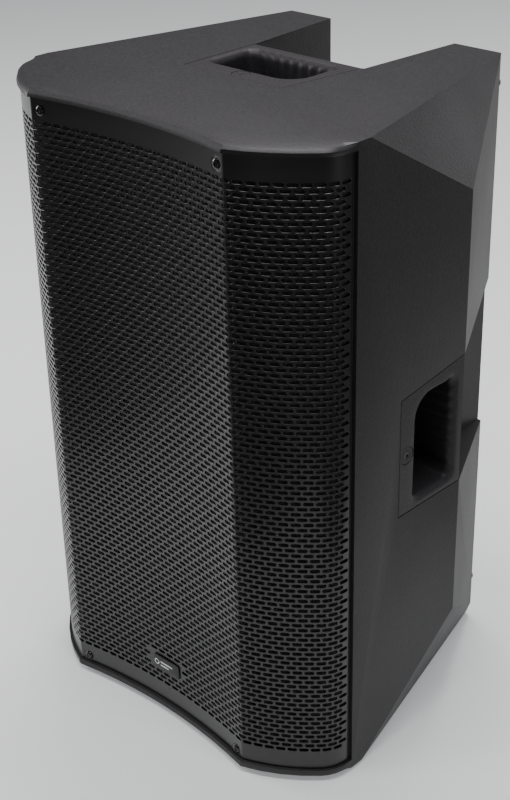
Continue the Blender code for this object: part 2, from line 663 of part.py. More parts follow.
# ---- amplifier -------------------------------------------------------------------------------------
def amp_plate():
    """The rear panel with its openings, the heatsink and the tray behind it."""
    plate = box("amp_plate", (-PLATE_HALF_WIDTH, PLATE_HALF_WIDTH), (PLATE_BACK_Y, PLATE_FACE_Y), PLATE_Z)
    span = (PLATE_BACK_Y - 0.01, PLATE_FACE_Y + 0.01)
    for x in (-JACK_X, 0.0, JACK_X):
        cut(plate, rod("jack_hole", (x, JACK_Z), 0.0121, *span, "Y", SMALL_ROUND))
    for x in KNOB_X:
        cut(plate, rod("shaft_hole", (x, KNOB_Z), 0.0036, *span, "Y", 8))
    cut(plate, rod("button_hole", BUTTON_XZ, 0.0033, *span, "Y", 8))
    cut(plate, rod("lens_hole", LED_XZ, 0.0018, *span, "Y", 8))
    for (x, z), half_w, half_h in ((INLET_XZ, 0.0138, 0.0218), (SWITCH_XZ, 0.0098, 0.0138)):
        cut(plate, box("cutout", (x - half_w, x + half_w), span, (z - half_h, z + half_h)))
    finish(plate, "panel_paint", FLAT)
    outer = 0.060
    base_y = (PLATE_FACE_Y + GAP, PLATE_FACE_Y + 0.0043)
    pitch = (2 * outer - 0.0022) / (FIN_COUNT - 1)
    comb = [(outer, base_y[0]), (-outer, base_y[0])]
    for i in range(FIN_COUNT):
        left = -outer + i * pitch
        comb += [(left, base_y[1]), (left, base_y[1] + 0.018), (left + 0.0022, base_y[1] + 0.018),
                 (left + 0.0022, base_y[1])]
    comb = [p for i, p in enumerate(comb) if i not in (2, len(comb) - 1)]
    finish(prism("heatsink", comb, 0.358, 0.490), "anodised", FLAT)
    half = CUTOUT_HALF_WIDTH - 0.0017
    low, high = CUTOUT_Z[0] + 0.003, CUTOUT_Z[1] - 0.003
    tray = box("amp_chassis", (-half, half), (CHASSIS_FRONT_Y, CHANNEL_Y), (low, high))
    wall = 0.0015
    cut(tray, box("inside", (-half + wall, half - wall), (CHASSIS_FRONT_Y + wall, CHANNEL_Y + 0.01),
                  (low + wall, high - wall)))
    finish(tray, "zinc_steel", FLAT)


def board(name, z, y, lumps, shafts=()):
    """A circuit board on four legs that stand on the tray, with its larger components."""
    thickness = 0.0016
    half = 0.053
    piece = box(name, (-half, half), (y, y + thickness), z)
    foot = CHASSIS_FRONT_Y + 0.0015 + GAP
    for x in (-half + 0.004, half - 0.009):
        for low in (z[0] + 0.003, z[1] - 0.008):
            weld(piece, box("leg", (x, x + 0.005), (foot, y + 0.0008), (low, low + 0.005)))
    for x0, x1, z0, z1, height in lumps:
        weld(piece, box("lump", (x0, x1), (y + 0.0008, y + thickness + height), (z0, z1)))
    for x, z_shaft, radius, end in shafts:
        weld(piece, rod("shaft", (x, z_shaft), radius, y + 0.004, end, "Y", TINY_ROUND))
    return finish(piece, "circuit_board", FLAT)


def electronics():
    """Power supply, power amplifier and input boards."""
    board("power_supply_board", (0.366, 0.487), 0.0340, [
        (-0.044, -0.012, 0.382, 0.420, 0.0200), (0.004, 0.026, 0.374, 0.396, 0.0180),
        (0.030, 0.044, 0.404, 0.470, 0.0140), (-0.040, 0.016, 0.436, 0.462, 0.0170)])
    board("amplifier_board", (0.186, 0.275), 0.0310, [
        (-0.040, -0.018, 0.200, 0.222, 0.0048), (-0.008, 0.014, 0.204, 0.250, 0.0040),
        (0.022, 0.042, 0.196, 0.224, 0.0048)])
    shaft_end = PLATE_FACE_Y + 0.0095
    pots = [(x - 0.0075, x + 0.0075, KNOB_Z - 0.0075, KNOB_Z + 0.0075, 0.0110) for x in KNOB_X]
    button_body = (BUTTON_XZ[0] - 0.0055, BUTTON_XZ[0] + 0.0055, BUTTON_XZ[1] - 0.0055, BUTTON_XZ[1] + 0.0055,
                   0.0060)
    led_body = (LED_XZ[0] - 0.0025, LED_XZ[0] + 0.0025, LED_XZ[1] - 0.0025, LED_XZ[1] + 0.0025, 0.0060)
    shafts = [(x, KNOB_Z, 0.0028, shaft_end) for x in KNOB_X]
    board("input_board", (0.280, 0.352), 0.0440, pots + [button_body, led_body], shafts)


def panel_jack(name, x, male):
    """A panel socket: square flange and a round barrel with its recess; a link output has pins."""
    z = JACK_Z
    face = PLATE_FACE_Y + GAP
    jack = box(name, (x - 0.013, x + 0.013), (face, face + 0.0020), (z - 0.0155, z + 0.0155))
    weld(jack, rod("barrel", (x, z), 0.0117, 0.0400, face + 0.0010, "Y", SMALL_ROUND))
    cut(jack, rod("recess", (x, z), 0.0093, 0.0440, face + 0.01, "Y", SMALL_ROUND))
    if male:
        for angle in (90, 210, 330):
            spot = (x + 0.0042 * math.cos(math.radians(angle)), z + 0.0042 * math.sin(math.radians(angle)))
            weld(jack, rod("pin", spot, 0.0012, 0.0430, face - 0.001, "Y", 8))
    else:
        cut(jack, box("latch_slot", (x - 0.0040, x + 0.0040), (face - 0.0001, face + 0.01),
                      (z + 0.0103, z + 0.0142)))
    return finish(jack, "gloss_plastic", FLAT)


def jacks():
    """Two combo inputs with their press latches, and the link output."""
    face = PLATE_FACE_Y + GAP
    for name, x in (("left", -JACK_X), ("right", JACK_X)):
        panel_jack("combo_jack_" + name, x, male=False)
        latch_z = (JACK_Z + 0.0106, JACK_Z + 0.0139)
        latch_y = (face + 0.0019, face + 0.0042)
        latch = box("jack_latch_" + name, (x - 0.0037, x + 0.0037), latch_y, latch_z,
                    (x, latch_y[0], sum(latch_z) / 2))
        finish(latch, "gloss_plastic", FLAT)
    panel_jack("link_jack", 0.0, male=True)


def controls():
    """Level knobs, the mode button and the power light."""
    base = PLATE_FACE_Y + 0.0008
    for name, x in zip(("knob_left_level", "knob_right_level", "knob_main_level"), KNOB_X):
        profile = [(0.0, base + 0.0130), (0.0062, base + 0.0130), (0.0072, base + 0.0118),
                   (0.0078, base), (0.0031, base), (0.0031, base + 0.0098), (0.0, base + 0.0098)]
        knob = turned(name, profile, (x, KNOB_Z), "Y", SMALL_ROUND, (x, base, KNOB_Z))
        weld(knob, box("pointer", (x - 0.0006, x + 0.0006), (base + 0.0110, base + 0.0136),
                       (KNOB_Z + 0.0015, KNOB_Z + 0.0071)))
        finish(knob, "soft_rubber", SMOOTH)
    x, z = BUTTON_XZ
    start = 0.0524
    button = turned("mode_button", [(0.0, PLATE_FACE_Y + 0.0038), (0.0024, PLATE_FACE_Y + 0.0038),
                                    (0.0029, PLATE_FACE_Y + 0.0030), (0.0029, start + 0.0018),
                                    (0.0, start + 0.0018)], (x, z), "Y", TINY_ROUND, (x, start, z))
    finish(button, "gloss_plastic", SMOOTH)
    x, z = LED_XZ
    lens = turned("power_light", [(0.0, PLATE_FACE_Y + 0.0016), (0.0010, PLATE_FACE_Y + 0.0013),
                                  (0.0015, PLATE_FACE_Y + 0.0004), (0.0015, 0.0522), (0.0, 0.0522)],
                  (x, z), "Y", TINY_ROUND)
    finish(lens, "clear_lens", SMOOTH)


def mains_parts():
    """The mains inlet with its fuse drawer, and the rocker switch."""
    face = PLATE_FACE_Y + GAP
    x, z = INLET_XZ
    inlet = box("mains_inlet", (x - 0.0155, x + 0.0155), (face, face + 0.0020), (z - 0.0245, z + 0.0245))
    weld(inlet, box("body", (x - 0.0135, x + 0.0135), (0.0400, face + 0.0010), (z - 0.0215, z + 0.0215)))
    plug = [(x - 0.0122, z + 0.0030), (x + 0.0122, z + 0.0030), (x + 0.0122, z + 0.0145),
            (x + 0.0082, z + 0.0190), (x - 0.0082, z + 0.0190), (x - 0.0122, z + 0.0145)]
    cut(inlet, prism("socket", plug, 0.0450, face + 0.01, "Y"))
    cut(inlet, box("fuse_slot", (x - 0.0115, x + 0.0115), (0.0460, face + 0.01), (z - 0.0155, z - 0.0050)))
    for px, pz in ((-0.0070, 0.0090), (0.0070, 0.0090), (0.0, 0.0130)):
        weld(inlet, box("blade", (x + px - 0.0010, x + px + 0.0010), (0.0440, face - 0.002),
                        (z + pz - 0.0020, z + pz + 0.0020)))
    finish(inlet, "gloss_plastic", FLAT)
    drawer_y = (0.0465, face + 0.0028)
    drawer = box("fuse_drawer", (x - 0.0111, x + 0.0111), drawer_y, (z - 0.0151, z - 0.0054),
                 (x, drawer_y[0], z - 0.0103))
    cut(drawer, box("grip", (x - 0.0050, x + 0.0050), (face + 0.0010, face + 0.01), (z - 0.0160, z - 0.0130)))
    finish(drawer, "gloss_plastic", FLAT)
    x, z = SWITCH_XZ
    bezel = box("switch_bezel", (x - 0.0112, x + 0.0112), (face, face + 0.0018), (z - 0.0154, z + 0.0154))
    weld(bezel, box("body", (x - 0.0094, x + 0.0094), (0.0440, face + 0.0009), (z - 0.0134, z + 0.0134)))
    cut(bezel, box("well", (x - 0.0078, x + 0.0078), (0.0480, face + 0.01), (z - 0.0118, z + 0.0118)))
    finish(bezel, "gloss_plastic", FLAT)
    hinge_y = face - 0.0030
    profile = [(-0.0110, 0.0010), (-0.0106, 0.0058), (0.0, 0.0036), (0.0106, 0.0058), (0.0110, 0.0010),
               (0.0, -0.0055)]
    tilt = math.radians(-9)
    outline = []
    for dz, dy in profile:
        outline.append((hinge_y + dy * math.cos(tilt) - dz * math.sin(tilt),
                        z + dy * math.sin(tilt) + dz * math.cos(tilt)))
    rocker = prism("power_rocker", outline, x - 0.0074, x + 0.0074, "X", (x, hinge_y, z))
    finish(rocker, "gloss_plastic", FLAT)


# ---- feet, socket, wadding, leads ------------------------------------------------------------------
def feet():
    """Four flat rubber feet below and four domed bumpers on the arms' rear faces."""
    for front, y in (("front", -0.145), ("rear", 0.115)):
        for side, x in (("left", -0.135 if front == "front" else -0.118),
                        ("right", 0.135 if front == "front" else 0.118)):
            profile = [(0.0, 0.0), (0.0115, 0.0), (0.0125, 0.0012), (0.0125, FOOT_HEIGHT - GAP),
                       (0.0, FOOT_HEIGHT - GAP)]
            foot = turned("rubber_foot_%s_%s" % (front, side), profile, (x, y), "Z", 20)
            finish(foot, "soft_rubber", SMOOTH)
    start = REAR_Y + GAP
    end = 0.200
    for level, z in (("lower", 0.0554), ("upper", 0.668)):
        for side, x in (("left", -0.1385), ("right", 0.1385)):
            profile = [(0.0, end), (0.0026, end - 0.0006), (0.0045, end - 0.0022), (0.0053, end - 0.0045),
                       (0.0053, start), (0.0, start)]
            bumper = turned("rear_bumper_%s_%s" % (level, side), profile, (x, z), "Y", SMALL_ROUND)
            finish(bumper, "soft_rubber", SMOOTH)


def pole_socket():
    """The blind socket under the cabinet that takes a 35 mm stand pole."""
    top = 0.088
    profile = [(0.0, top), (0.0215, top), (0.0215, FOOT_HEIGHT - GAP), (0.038, FOOT_HEIGHT - GAP),
               (0.038, 0.0016), (POLE_RADIUS, 0.0016), (POLE_RADIUS, top - 0.003), (0.0, top - 0.003)]
    finish(turned("pole_socket", profile, (0.0, POLE_Y), "Z", ROUND), "handle_plastic", SMOOTH)


def wadding():
    """Two pads of wadding on the lower side walls."""
    inner = HALF_WIDTH - WALL - GAP
    for name, side in (("wadding_left", -1), ("wadding_right", 1)):
        x = sorted((side * (inner - 0.015), side * inner))
        finish(box(name, x, (-0.100, 0.030), (0.115, 0.272)), "wadding", FLAT)


def lead(name, route):
    """An insulated lead along a smooth route."""
    curve = bpy.data.curves.new(name, "CURVE")
    curve.dimensions = "3D"
    curve.bevel_depth = 0.0016
    curve.bevel_resolution = 1
    curve.use_fill_caps = True
    spline = curve.splines.new("POLY")
    smooth = []
    count = len(route)
    for i in range(count - 1):
        p0, p1 = Vector(route[max(i - 1, 0)]), Vector(route[i])
        p2, p3 = Vector(route[i + 1]), Vector(route[min(i + 2, count - 1)])
        for k in range(4):
            t = k / 4
            smooth.append(0.5 * (2 * p1 + (p2 - p0) * t + (2 * p0 - 5 * p1 + 4 * p2 - p3) * t * t
                                 + (3 * p1 - p0 - 3 * p2 + p3) * t ** 3))
    smooth.append(Vector(route[-1]))
    spline.points.add(len(smooth) - 1)
    for point, place_ in zip(spline.points, smooth):
        point.co = (*place_, 1.0)
    obj = bpy.data.objects.new(name, curve)
    bpy.context.scene.collection.objects.link(obj)
    material = bpy.data.materials.new(name + "_insulation")
    material.use_nodes = True
    shader = material.node_tree.nodes["Principled BSDF"]
    colour, roughness, metallic = FINISHES["lead_insulation"]
    shader.inputs["Base Color"].default_value = (*colour, 1.0)
    shader.inputs["Roughness"].default_value = roughness
    shader.inputs["Metallic"].default_value = metallic
    curve.materials.append(material)


def leads():
    """The leads from the amplifier to the woofer and to the horn driver."""
    edge = CUTOUT_HALF_WIDTH - 0.0014
    lead("woofer_lead", [(edge, 0.045, 0.300), (0.072, 0.044, 0.3005), (0.094, 0.034, 0.303),
                         (0.109, 0.008, 0.307), (0.116, -0.030, 0.311), (0.114, -0.058, 0.313),
                         (0.108, -0.072, 0.3135), (0.1005, -0.0795, 0.3125)])
    lead("horn_lead", [(0.030, 0.045, CUTOUT_Z[1] - 0.0027), (0.031, 0.0455, 0.503), (0.040, 0.045, 0.518),
                       (0.055, 0.038, 0.532), (0.060, 0.024, 0.541), (0.055, 0.014, 0.545),
                       (0.0473, 0.012, 0.545)])


def main():
    """Build every piece."""
    clear_scene()
    places = handle_places()
    cabinet_shell(places)
    handle_inserts(places)
    front_baffle()
    front_grille()
    woofer()
    horn()
    port_tubes()
    amp_plate()
    electronics()
    jacks()
    controls()
    mains_parts()
    feet()
    pole_socket()
    wadding()
    leads()


main()
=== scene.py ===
"""Looks of a two-way PA loudspeaker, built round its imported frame.

Each sub-assembly is a class: Studio, Cabinet, FrontGrille, HandGrip, RearPanel, SmallParts and Inside.
Lengths are metres, +Z is up, the front faces -Y, and every finished piece sits at the origin.
"""

import logging
import math
from dataclasses import dataclass, field
from enum import Enum

import bmesh
import bpy
import numpy as np
from mathutils import Matrix, Vector


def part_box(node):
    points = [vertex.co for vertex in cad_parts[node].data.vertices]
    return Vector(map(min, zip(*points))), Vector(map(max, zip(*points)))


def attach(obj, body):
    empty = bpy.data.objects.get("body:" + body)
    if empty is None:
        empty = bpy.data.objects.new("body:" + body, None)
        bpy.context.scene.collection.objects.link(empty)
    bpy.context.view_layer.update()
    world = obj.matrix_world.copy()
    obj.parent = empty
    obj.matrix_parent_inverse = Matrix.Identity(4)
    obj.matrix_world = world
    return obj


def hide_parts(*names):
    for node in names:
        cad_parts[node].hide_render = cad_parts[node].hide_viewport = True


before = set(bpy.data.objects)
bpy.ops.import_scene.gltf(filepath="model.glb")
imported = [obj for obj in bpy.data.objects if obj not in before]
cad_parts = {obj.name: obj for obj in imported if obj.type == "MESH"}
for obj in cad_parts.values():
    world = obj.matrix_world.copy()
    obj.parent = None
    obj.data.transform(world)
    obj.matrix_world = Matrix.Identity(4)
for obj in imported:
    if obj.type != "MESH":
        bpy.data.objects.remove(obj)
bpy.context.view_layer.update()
LOG = logging.getLogger("pa_speaker_cabinet")
MM = 0.001
Pair = tuple[float, float]
Triple = tuple[float, float, float]
Surface = tuple[np.ndarray, np.ndarray]


# ---- shader signals ----
class Signal:
    """One output of a shader graph that can be used in arithmetic."""

    def __init__(self, graph: "Graph", socket: bpy.types.NodeSocket) -> None:
        """Wrap a socket of a graph."""
        self.graph = graph
        self.socket = socket

    def _math(self, operation: str, first: object, second: object) -> "Signal":
        """Add a Math node that works on two values."""
        return self.graph.node("ShaderNodeMath", {"operation": operation}, {0: first, 1: second})

    def __add__(self, other: object) -> "Signal":
        """Sum of two values."""
        return self._math("ADD", self, other)

    def __radd__(self, other: object) -> "Signal":
        """Sum with a number on the left."""
        return self._math("ADD", other, self)

    def __rsub__(self, other: object) -> "Signal":
        """Difference from a number on the left."""
        return self._math("SUBTRACT", other, self)

    def __mul__(self, other: object) -> "Signal":
        """Product of two values."""
        return self._math("MULTIPLY", self, other)

    def __rmul__(self, other: object) -> "Signal":
        """Product with a number on the left."""
        return self._math("MULTIPLY", other, self)


class Graph:
    """The node tree of one material."""

    def __init__(self, name: str) -> None:
        """Start a material that holds only its output and its main shader.

        Args:
            name: the material's name.
        """
        self.material = bpy.data.materials.new(name)
        self.material.use_nodes = True
        self.tree = self.material.node_tree
        self.tree.nodes.clear()
        self.output = self.tree.nodes.new("ShaderNodeOutputMaterial")
        self.shader = self.tree.nodes.new("ShaderNodeBsdfPrincipled")
        self.tree.links.new(self.shader.outputs[0], self.output.inputs[0])

    def node(self, kind: str, settings: dict, inputs: dict, output: object = 0) -> Signal:
        """Add a node.

        Args:
            kind: the node's type name.
            settings: its properties, or the stops of a ramp.
            inputs: socket name or number to a Signal or a constant.
            output: name or number of the output that is wanted.

        Returns:
            The output as a Signal.
        """
        made = self.tree.nodes.new(kind)
        for key, value in settings.items():
            if key == "stops":
                ramp = made.color_ramp.elements
                while len(ramp) < len(value):
                    ramp.new(0.5)
                for stop, (position, level) in zip(ramp, value):
                    stop.position = position
                    stop.color = (level, level, level, 1.0)
            else:
                setattr(made, key, value)
        for key, value in inputs.items():
            if isinstance(value, Signal):
                self.tree.links.new(value.socket, made.inputs[key])
            else:
                made.inputs[key].default_value = value
        return Signal(self, made.outputs[output])

    def place(self) -> Signal:
        """Object coordinates, which are metres in the cabinet's own frame."""
        return self.node("ShaderNodeTexCoord", {}, {}, "Object")

    def stretched(self, vector: Signal, scale: Triple) -> Signal:
        """Coordinates scaled along the three axes."""
        return self.node("ShaderNodeMapping", {}, {"Vector": vector, "Scale": scale})

    def noise(self, vector: Signal, size: float, detail: float = 2.0, rough: float = 0.5) -> Signal:
        """Fractal noise from 0 to 1 whose features are about size metres across."""
        return self.node("ShaderNodeTexNoise", {},
                         {"Vector": vector, "Scale": 1.0 / size, "Detail": detail, "Roughness": rough})

    def cells(self, vector: Signal, size: float, feature: str = "F1") -> Signal:
        """Distance to the nearest cell centre, for cells about size metres across."""
        return self.node("ShaderNodeTexVoronoi", {"feature": feature},
                         {"Vector": vector, "Scale": 1.0 / size}, "Distance")

    def ramp(self, value: Signal, *stops: Pair) -> Signal:
        """A grey ramp through the given stops."""
        return self.node("ShaderNodeValToRGB", {"stops": stops}, {0: value})

    def mix(self, factor: object, first: object, second: object) -> Signal:
        """A colour between two colours."""
        colours = [(*c, 1.0) if isinstance(c, tuple) else c for c in (first, second)]
        return self.node("ShaderNodeMix", {"data_type": "RGBA"}, {0: factor, 6: colours[0], 7: colours[1]}, 2)

    def bump(self, height: Signal, distance: float, strength: float) -> Signal:
        """A normal roughened by a height from 0 to 1 that stands for distance metres."""
        return self.node("ShaderNodeBump", {}, {"Height": height, "Distance": distance, "Strength": strength})

    def feed(self, **inputs: object) -> None:
        """Set or link sockets of the main shader, with names written with underscores."""
        for key, value in inputs.items():
            socket = self.shader.inputs[key.replace("_", " ")]
            if isinstance(value, Signal):
                self.tree.links.new(value.socket, socket)
            elif isinstance(value, tuple):
                socket.default_value = (*value, 1.0)
            else:
                socket.default_value = value


class Grain(Enum):
    """The surface patterns that a finish can have."""

    SPARK = "fine spark-eroded texture of a moulded cabinet"
    POWDER = "orange peel of powder coat"
    BRUSHED = "lines left by brushing"
    # Open cells of foam, with painted sparkle: bright specks near the cells' centres that stand for glints.
    OPEN_CELL = "open cells of foam"
    FIBRE = "pressed or loose fibres"
    CAST = "cast or sintered metal"
    BOARD = "roller-coated board"
    CIRCUIT = "solder mask with copper tracks"
    POLISHED = "smooth moulding with faint flow marks"


@dataclass(frozen=True)
class Finish:
    """One finish: two tones, a roughness range and a grain, whose size and depth are in millimetres.

    The name is also the record's material slot, unless another slot is given.
    """

    name: str
    dark: Triple
    light: Triple
    rough: Pair
    grain: Grain
    size: float
    depth: float
    strength: float = 0.5
    metallic: float = 0.0
    coat: float = 0.0
    sheen: float = 0.0
    patch: float = 0.05
    specular: float = 0.5
    slot: str = ""

    def pattern(self, graph: Graph, place: Signal) -> tuple[Signal, Signal]:
        """Work out the grain.

        Args:
            graph: the material's graph.
            place: object coordinates.

        Returns:
            The height of the grain and the share of the light tone, each from 0 to 1.
        """
        size = self.size * MM
        fine = graph.noise(place, size, 2.0, 0.6)
        patches = graph.noise(place, self.patch, 3.0, 0.55)
        if self.grain is Grain.SPARK:
            pits = graph.cells(place, size * 1.3)
            mottle = graph.ramp(graph.noise(place, size * 2.3, 1.0, 0.5), (0.36, 0.0), (0.64, 1.0))
            share = graph.ramp(fine, (0.36, 0.0), (0.66, 1.0)) * 0.4 + mottle * 0.4 + patches * 0.2
            return fine * 0.45 + pits * 0.35 + mottle * 0.2, share
        if self.grain is Grain.POWDER:
            peel = graph.noise(place, size * 2.5, 1.0, 0.4)
            return peel * 0.7 + fine * 0.3, patches * 0.6 + fine * 0.4
        if self.grain is Grain.BRUSHED:
            lines = graph.noise(graph.stretched(place, (0.03, 1.0, 1.0)), size, 3.0, 0.7)
            return lines, lines * 0.7 + patches * 0.3
        if self.grain is Grain.OPEN_CELL:
            # The height is the cells' bump. The light-tone share near the cells' centres is painted sparkle,
            # glints off the foam, not a tone of its own.
            cells = graph.cells(place, size)
            return 1.0 - cells, graph.ramp(fine, (0.42, 0.0), (0.72, 1.0)) * (1.0 - cells)
        if self.grain is Grain.FIBRE:
            fibres = graph.noise(graph.stretched(place, (1.0, 0.25, 1.6)), size, 4.0, 0.75)
            return fibres, fibres * 0.8 + patches * 0.2
        if self.grain is Grain.BOARD:
            stipple = graph.noise(place, size, 3.0, 0.65)
            return stipple, stipple * 0.5 + patches * 0.5
        if self.grain is Grain.CIRCUIT:
            tracks = graph.node("ShaderNodeTexBrick", {"offset": 0.5},
                                {"Vector": place, "Scale": 1.0 / size, "Mortar Size": 0.06}, "Fac")
            return tracks, graph.ramp(tracks, (0.2, 0.2), (0.8, 1.0))
        if self.grain is Grain.CAST:
            pits = graph.cells(place, size, "SMOOTH_F1")
            return fine * 0.5 + pits * 0.5, patches * 0.5 + fine * 0.5
        return graph.noise(place, size * 6.0, 1.0, 0.3), patches

    def material(self) -> bpy.types.Material:
        """The finish as a material; it is built once and then reused."""
        name = self.name + "_finish"
        known = bpy.data.materials.get(name)
        if known is not None:
            return known
        graph = Graph(name)
        place = graph.place()
        height, share = self.pattern(graph, place)
        smear = graph.noise(place, 0.11, 3.0, 0.6)
        low, high = self.rough
        graph.feed(Base_Color=graph.mix(share, self.dark, self.light),
                   Roughness=low + (high - low) * (smear * 0.6 + height * 0.4),
                   Normal=graph.bump(height, self.depth * MM, self.strength),
                   Metallic=self.metallic, Coat_Weight=self.coat, Coat_Roughness=0.12,
                   Sheen_Weight=self.sheen, Sheen_Roughness=0.5, Specular_IOR_Level=self.specular)
        return graph.material


def tint(level: float) -> Triple:
    """The slightly violet black of the cabinet's plastic and paint at a level."""
    return level * 1.03, level * 0.96, level * 1.05


def grey(level: float, warmth: float = 0.0) -> Triple:
    """A grey with a little more red and less blue as warmth grows."""
    return level * (1.0 + warmth), level, level * (1.0 - warmth)


SHELL = Finish("moulded_shell", tint(0.0030), tint(0.0200), (0.46, 0.68), Grain.SPARK, 1.2, 0.40, 0.60)
# Painted highlight: a smoother, darker copy of the shell finish, for the lips over the cheeks only, where the
# light falls. The plastic there is the shell's own.
LIP_HIGHLIGHT = Finish("polished_lip", tint(0.0030), tint(0.0120), (0.34, 0.46), Grain.SPARK, 0.9, 0.10, 0.30,
             slot="moulded_shell")
HANDLE = Finish("handle_plastic", tint(0.0120), tint(0.0380), (0.44, 0.60), Grain.SPARK, 0.9, 0.20, 0.45,
                specular=0.30)
STEEL = Finish("painted_steel", tint(0.0075), tint(0.0130), (0.26, 0.42), Grain.POWDER, 0.5, 0.06, 0.30,
               coat=0.2)
# The foam's light tone shows only in sparse specks: painted sparkle for glints off its cells.
FOAM = Finish("foam", grey(0.004), grey(0.090), (0.40, 0.70), Grain.OPEN_CELL, 1.4, 0.9, 0.9)
SCREW = Finish("black_screw", grey(0.012), grey(0.025), (0.16, 0.26), Grain.CAST, 0.5, 0.02, 0.20,
               metallic=0.6, coat=0.4)
BADGE = Finish("badge_plate", grey(0.010), grey(0.016), (0.30, 0.42), Grain.BRUSHED, 0.4, 0.02, 0.20,
               metallic=0.3, slot="badge_aluminium")
BADGE_MARK = Finish("badge_mark", grey(0.52), grey(0.68), (0.22, 0.34), Grain.BRUSHED, 0.3, 0.01, 0.20,
                    metallic=0.9, slot="badge_aluminium")
BOARD = Finish("baffle_board", grey(0.012), grey(0.022), (0.55, 0.75), Grain.BOARD, 1.5, 0.2, 0.5)
PAINT = Finish("panel_paint", grey(0.011), grey(0.021), (0.42, 0.58), Grain.POWDER, 0.6, 0.12, 0.45)
INK = Finish("panel_ink", grey(0.60), grey(0.74), (0.45, 0.60), Grain.BOARD, 0.4, 0.02, 0.2,
             slot="panel_paint")
ANODISED = Finish("anodised", grey(0.014), grey(0.028), (0.30, 0.42), Grain.BRUSHED, 0.5, 0.03, 0.35,
                  metallic=0.8)
ZINC = Finish("zinc_steel", grey(0.42, 0.02), grey(0.60, 0.01), (0.28, 0.46), Grain.CAST, 4.0, 0.03, 0.25,
              metallic=1.0)
CIRCUIT = Finish("circuit_board", (0.006, 0.050, 0.022), (0.020, 0.110, 0.050), (0.28, 0.42), Grain.CIRCUIT,
                 3.0, 0.05, 0.4)
GLOSS = Finish("gloss_plastic", grey(0.010), grey(0.016), (0.18, 0.30), Grain.POLISHED, 1.0, 0.03, 0.15)
RUBBER = Finish("soft_rubber", grey(0.012), grey(0.022), (0.62, 0.80), Grain.SPARK, 0.5, 0.05, 0.3,
                sheen=0.15)
PAPER = Finish("cone_paper", grey(0.012), grey(0.030), (0.68, 0.85), Grain.FIBRE, 1.2, 0.15, 0.6)
FERRITE = Finish("ferrite", grey(0.030), grey(0.055), (0.50, 0.68), Grain.CAST, 0.8, 0.08, 0.4, metallic=0.4)
TITANIUM = Finish("titanium", grey(0.30, 0.03), grey(0.42, 0.03), (0.26, 0.38), Grain.BRUSHED, 0.4, 0.02, 0.2,
                  metallic=1.0)
WADDING = Finish("wadding", grey(0.50), grey(0.78), (0.88, 1.0), Grain.FIBRE, 3.0, 2.0, 0.9, sheen=0.3)
LENS = Finish("clear_lens", (0.02, 0.16, 0.05), (0.03, 0.22, 0.07), (0.06, 0.12), Grain.POLISHED, 0.5, 0.01,
              0.1, coat=0.5)
LEAD = Finish("lead_insulation", (0.14, 0.008, 0.008), (0.20, 0.014, 0.012), (0.34, 0.46), Grain.POLISHED,
              0.8, 0.03, 0.2)
SLOT_FINISHES = {finish.slot or finish.name: finish for finish in (
    SHELL, HANDLE, STEEL, FOAM, SCREW, BADGE, BOARD, PAINT, ANODISED, ZINC, CIRCUIT, GLOSS, RUBBER, PAPER,
    FERRITE, TITANIUM, WADDING, LENS, LEAD)}


# ---- surface kit ----
@dataclass(frozen=True)
class Seat:
    """Local axes of a part: u to the right, v up or across, w outwards."""

    origin: Triple
    u: Triple
    v: Triple
    w: Triple

    def at(self, local: np.ndarray) -> np.ndarray:
        """Cabinet points of local points: origin plus each coordinate times its axis."""
        return np.asarray(self.origin) + local @ np.array([self.u, self.v, self.w])

    def moved(self, u: float, v: float) -> "Seat":
        """A seat with the same axes at another local point."""
        return Seat(tuple(self.at(np.array([u, v, 0.0]))), self.u, self.v, self.w)


def front_seat(x: float, y: float, z: float) -> Seat:
    """A seat that looks out of the front."""
    return Seat((x, y, z), (1, 0, 0), (0, 0, 1), (0, -1, 0))


def rear_seat(x: float, y: float, z: float) -> Seat:
    """A seat that looks out of the back."""
    return Seat((x, y, z), (-1, 0, 0), (0, 0, 1), (0, 1, 0))


def grid_faces(rows: int, columns: int, wrap: bool = False, start: int = 0) -> np.ndarray:
    """Quads of a grid of vertices stored row by row.

    Args:
        rows: vertices down.
        columns: vertices across.
        wrap: joins the last column to the first.
        start: number of the grid's first vertex.

    Returns:
        An (n, 4) array; vertex (i, j) has the number start + i * columns + j.
    """
    i, j = np.meshgrid(np.arange(rows - 1), np.arange(columns if wrap else columns - 1), indexing="ij")
    nxt = (j + 1) % columns
    quads = np.stack([i * columns + j, i * columns + nxt, (i + 1) * columns + nxt, (i + 1) * columns + j], -1)
    return quads.reshape(-1, 4) + start


def around(count: int) -> np.ndarray:
    """Evenly spaced angles once round a circle."""
    return np.linspace(0.0, 2.0 * math.pi, count, endpoint=False)


def quad_mesh(name: str, points: np.ndarray, quads: np.ndarray) -> bpy.types.Mesh:
    """A mesh from whole arrays, its doubles merged and its faces turned outwards.

    Args:
        name: the mesh's name.
        points: (n, 3) places.
        quads: (m, 4) vertex numbers.

    Returns:
        The mesh.
    """
    mesh = bpy.data.meshes.new(name)
    mesh.vertices.add(len(points))
    mesh.vertices.foreach_set("co", np.asarray(points, dtype=np.float32).ravel())
    mesh.loops.add(quads.size)
    mesh.loops.foreach_set("vertex_index", quads.astype(np.int32).ravel())
    mesh.polygons.add(len(quads))
    mesh.polygons.foreach_set("loop_start", np.arange(0, quads.size, 4, dtype=np.int32))
    mesh.update(calc_edges=True)
    work = bmesh.new()
    work.from_mesh(mesh)
    bmesh.ops.remove_doubles(work, verts=work.verts, dist=1e-6)
    bmesh.ops.recalc_face_normals(work, faces=work.faces)
    work.to_mesh(mesh)
    work.free()
    return mesh


def linked(name: str, data: bpy.types.ID) -> bpy.types.Object:
    """A new object of the scene that holds some data."""
    made = bpy.data.objects.new(name, data)
    bpy.context.scene.collection.objects.link(made)
    return made


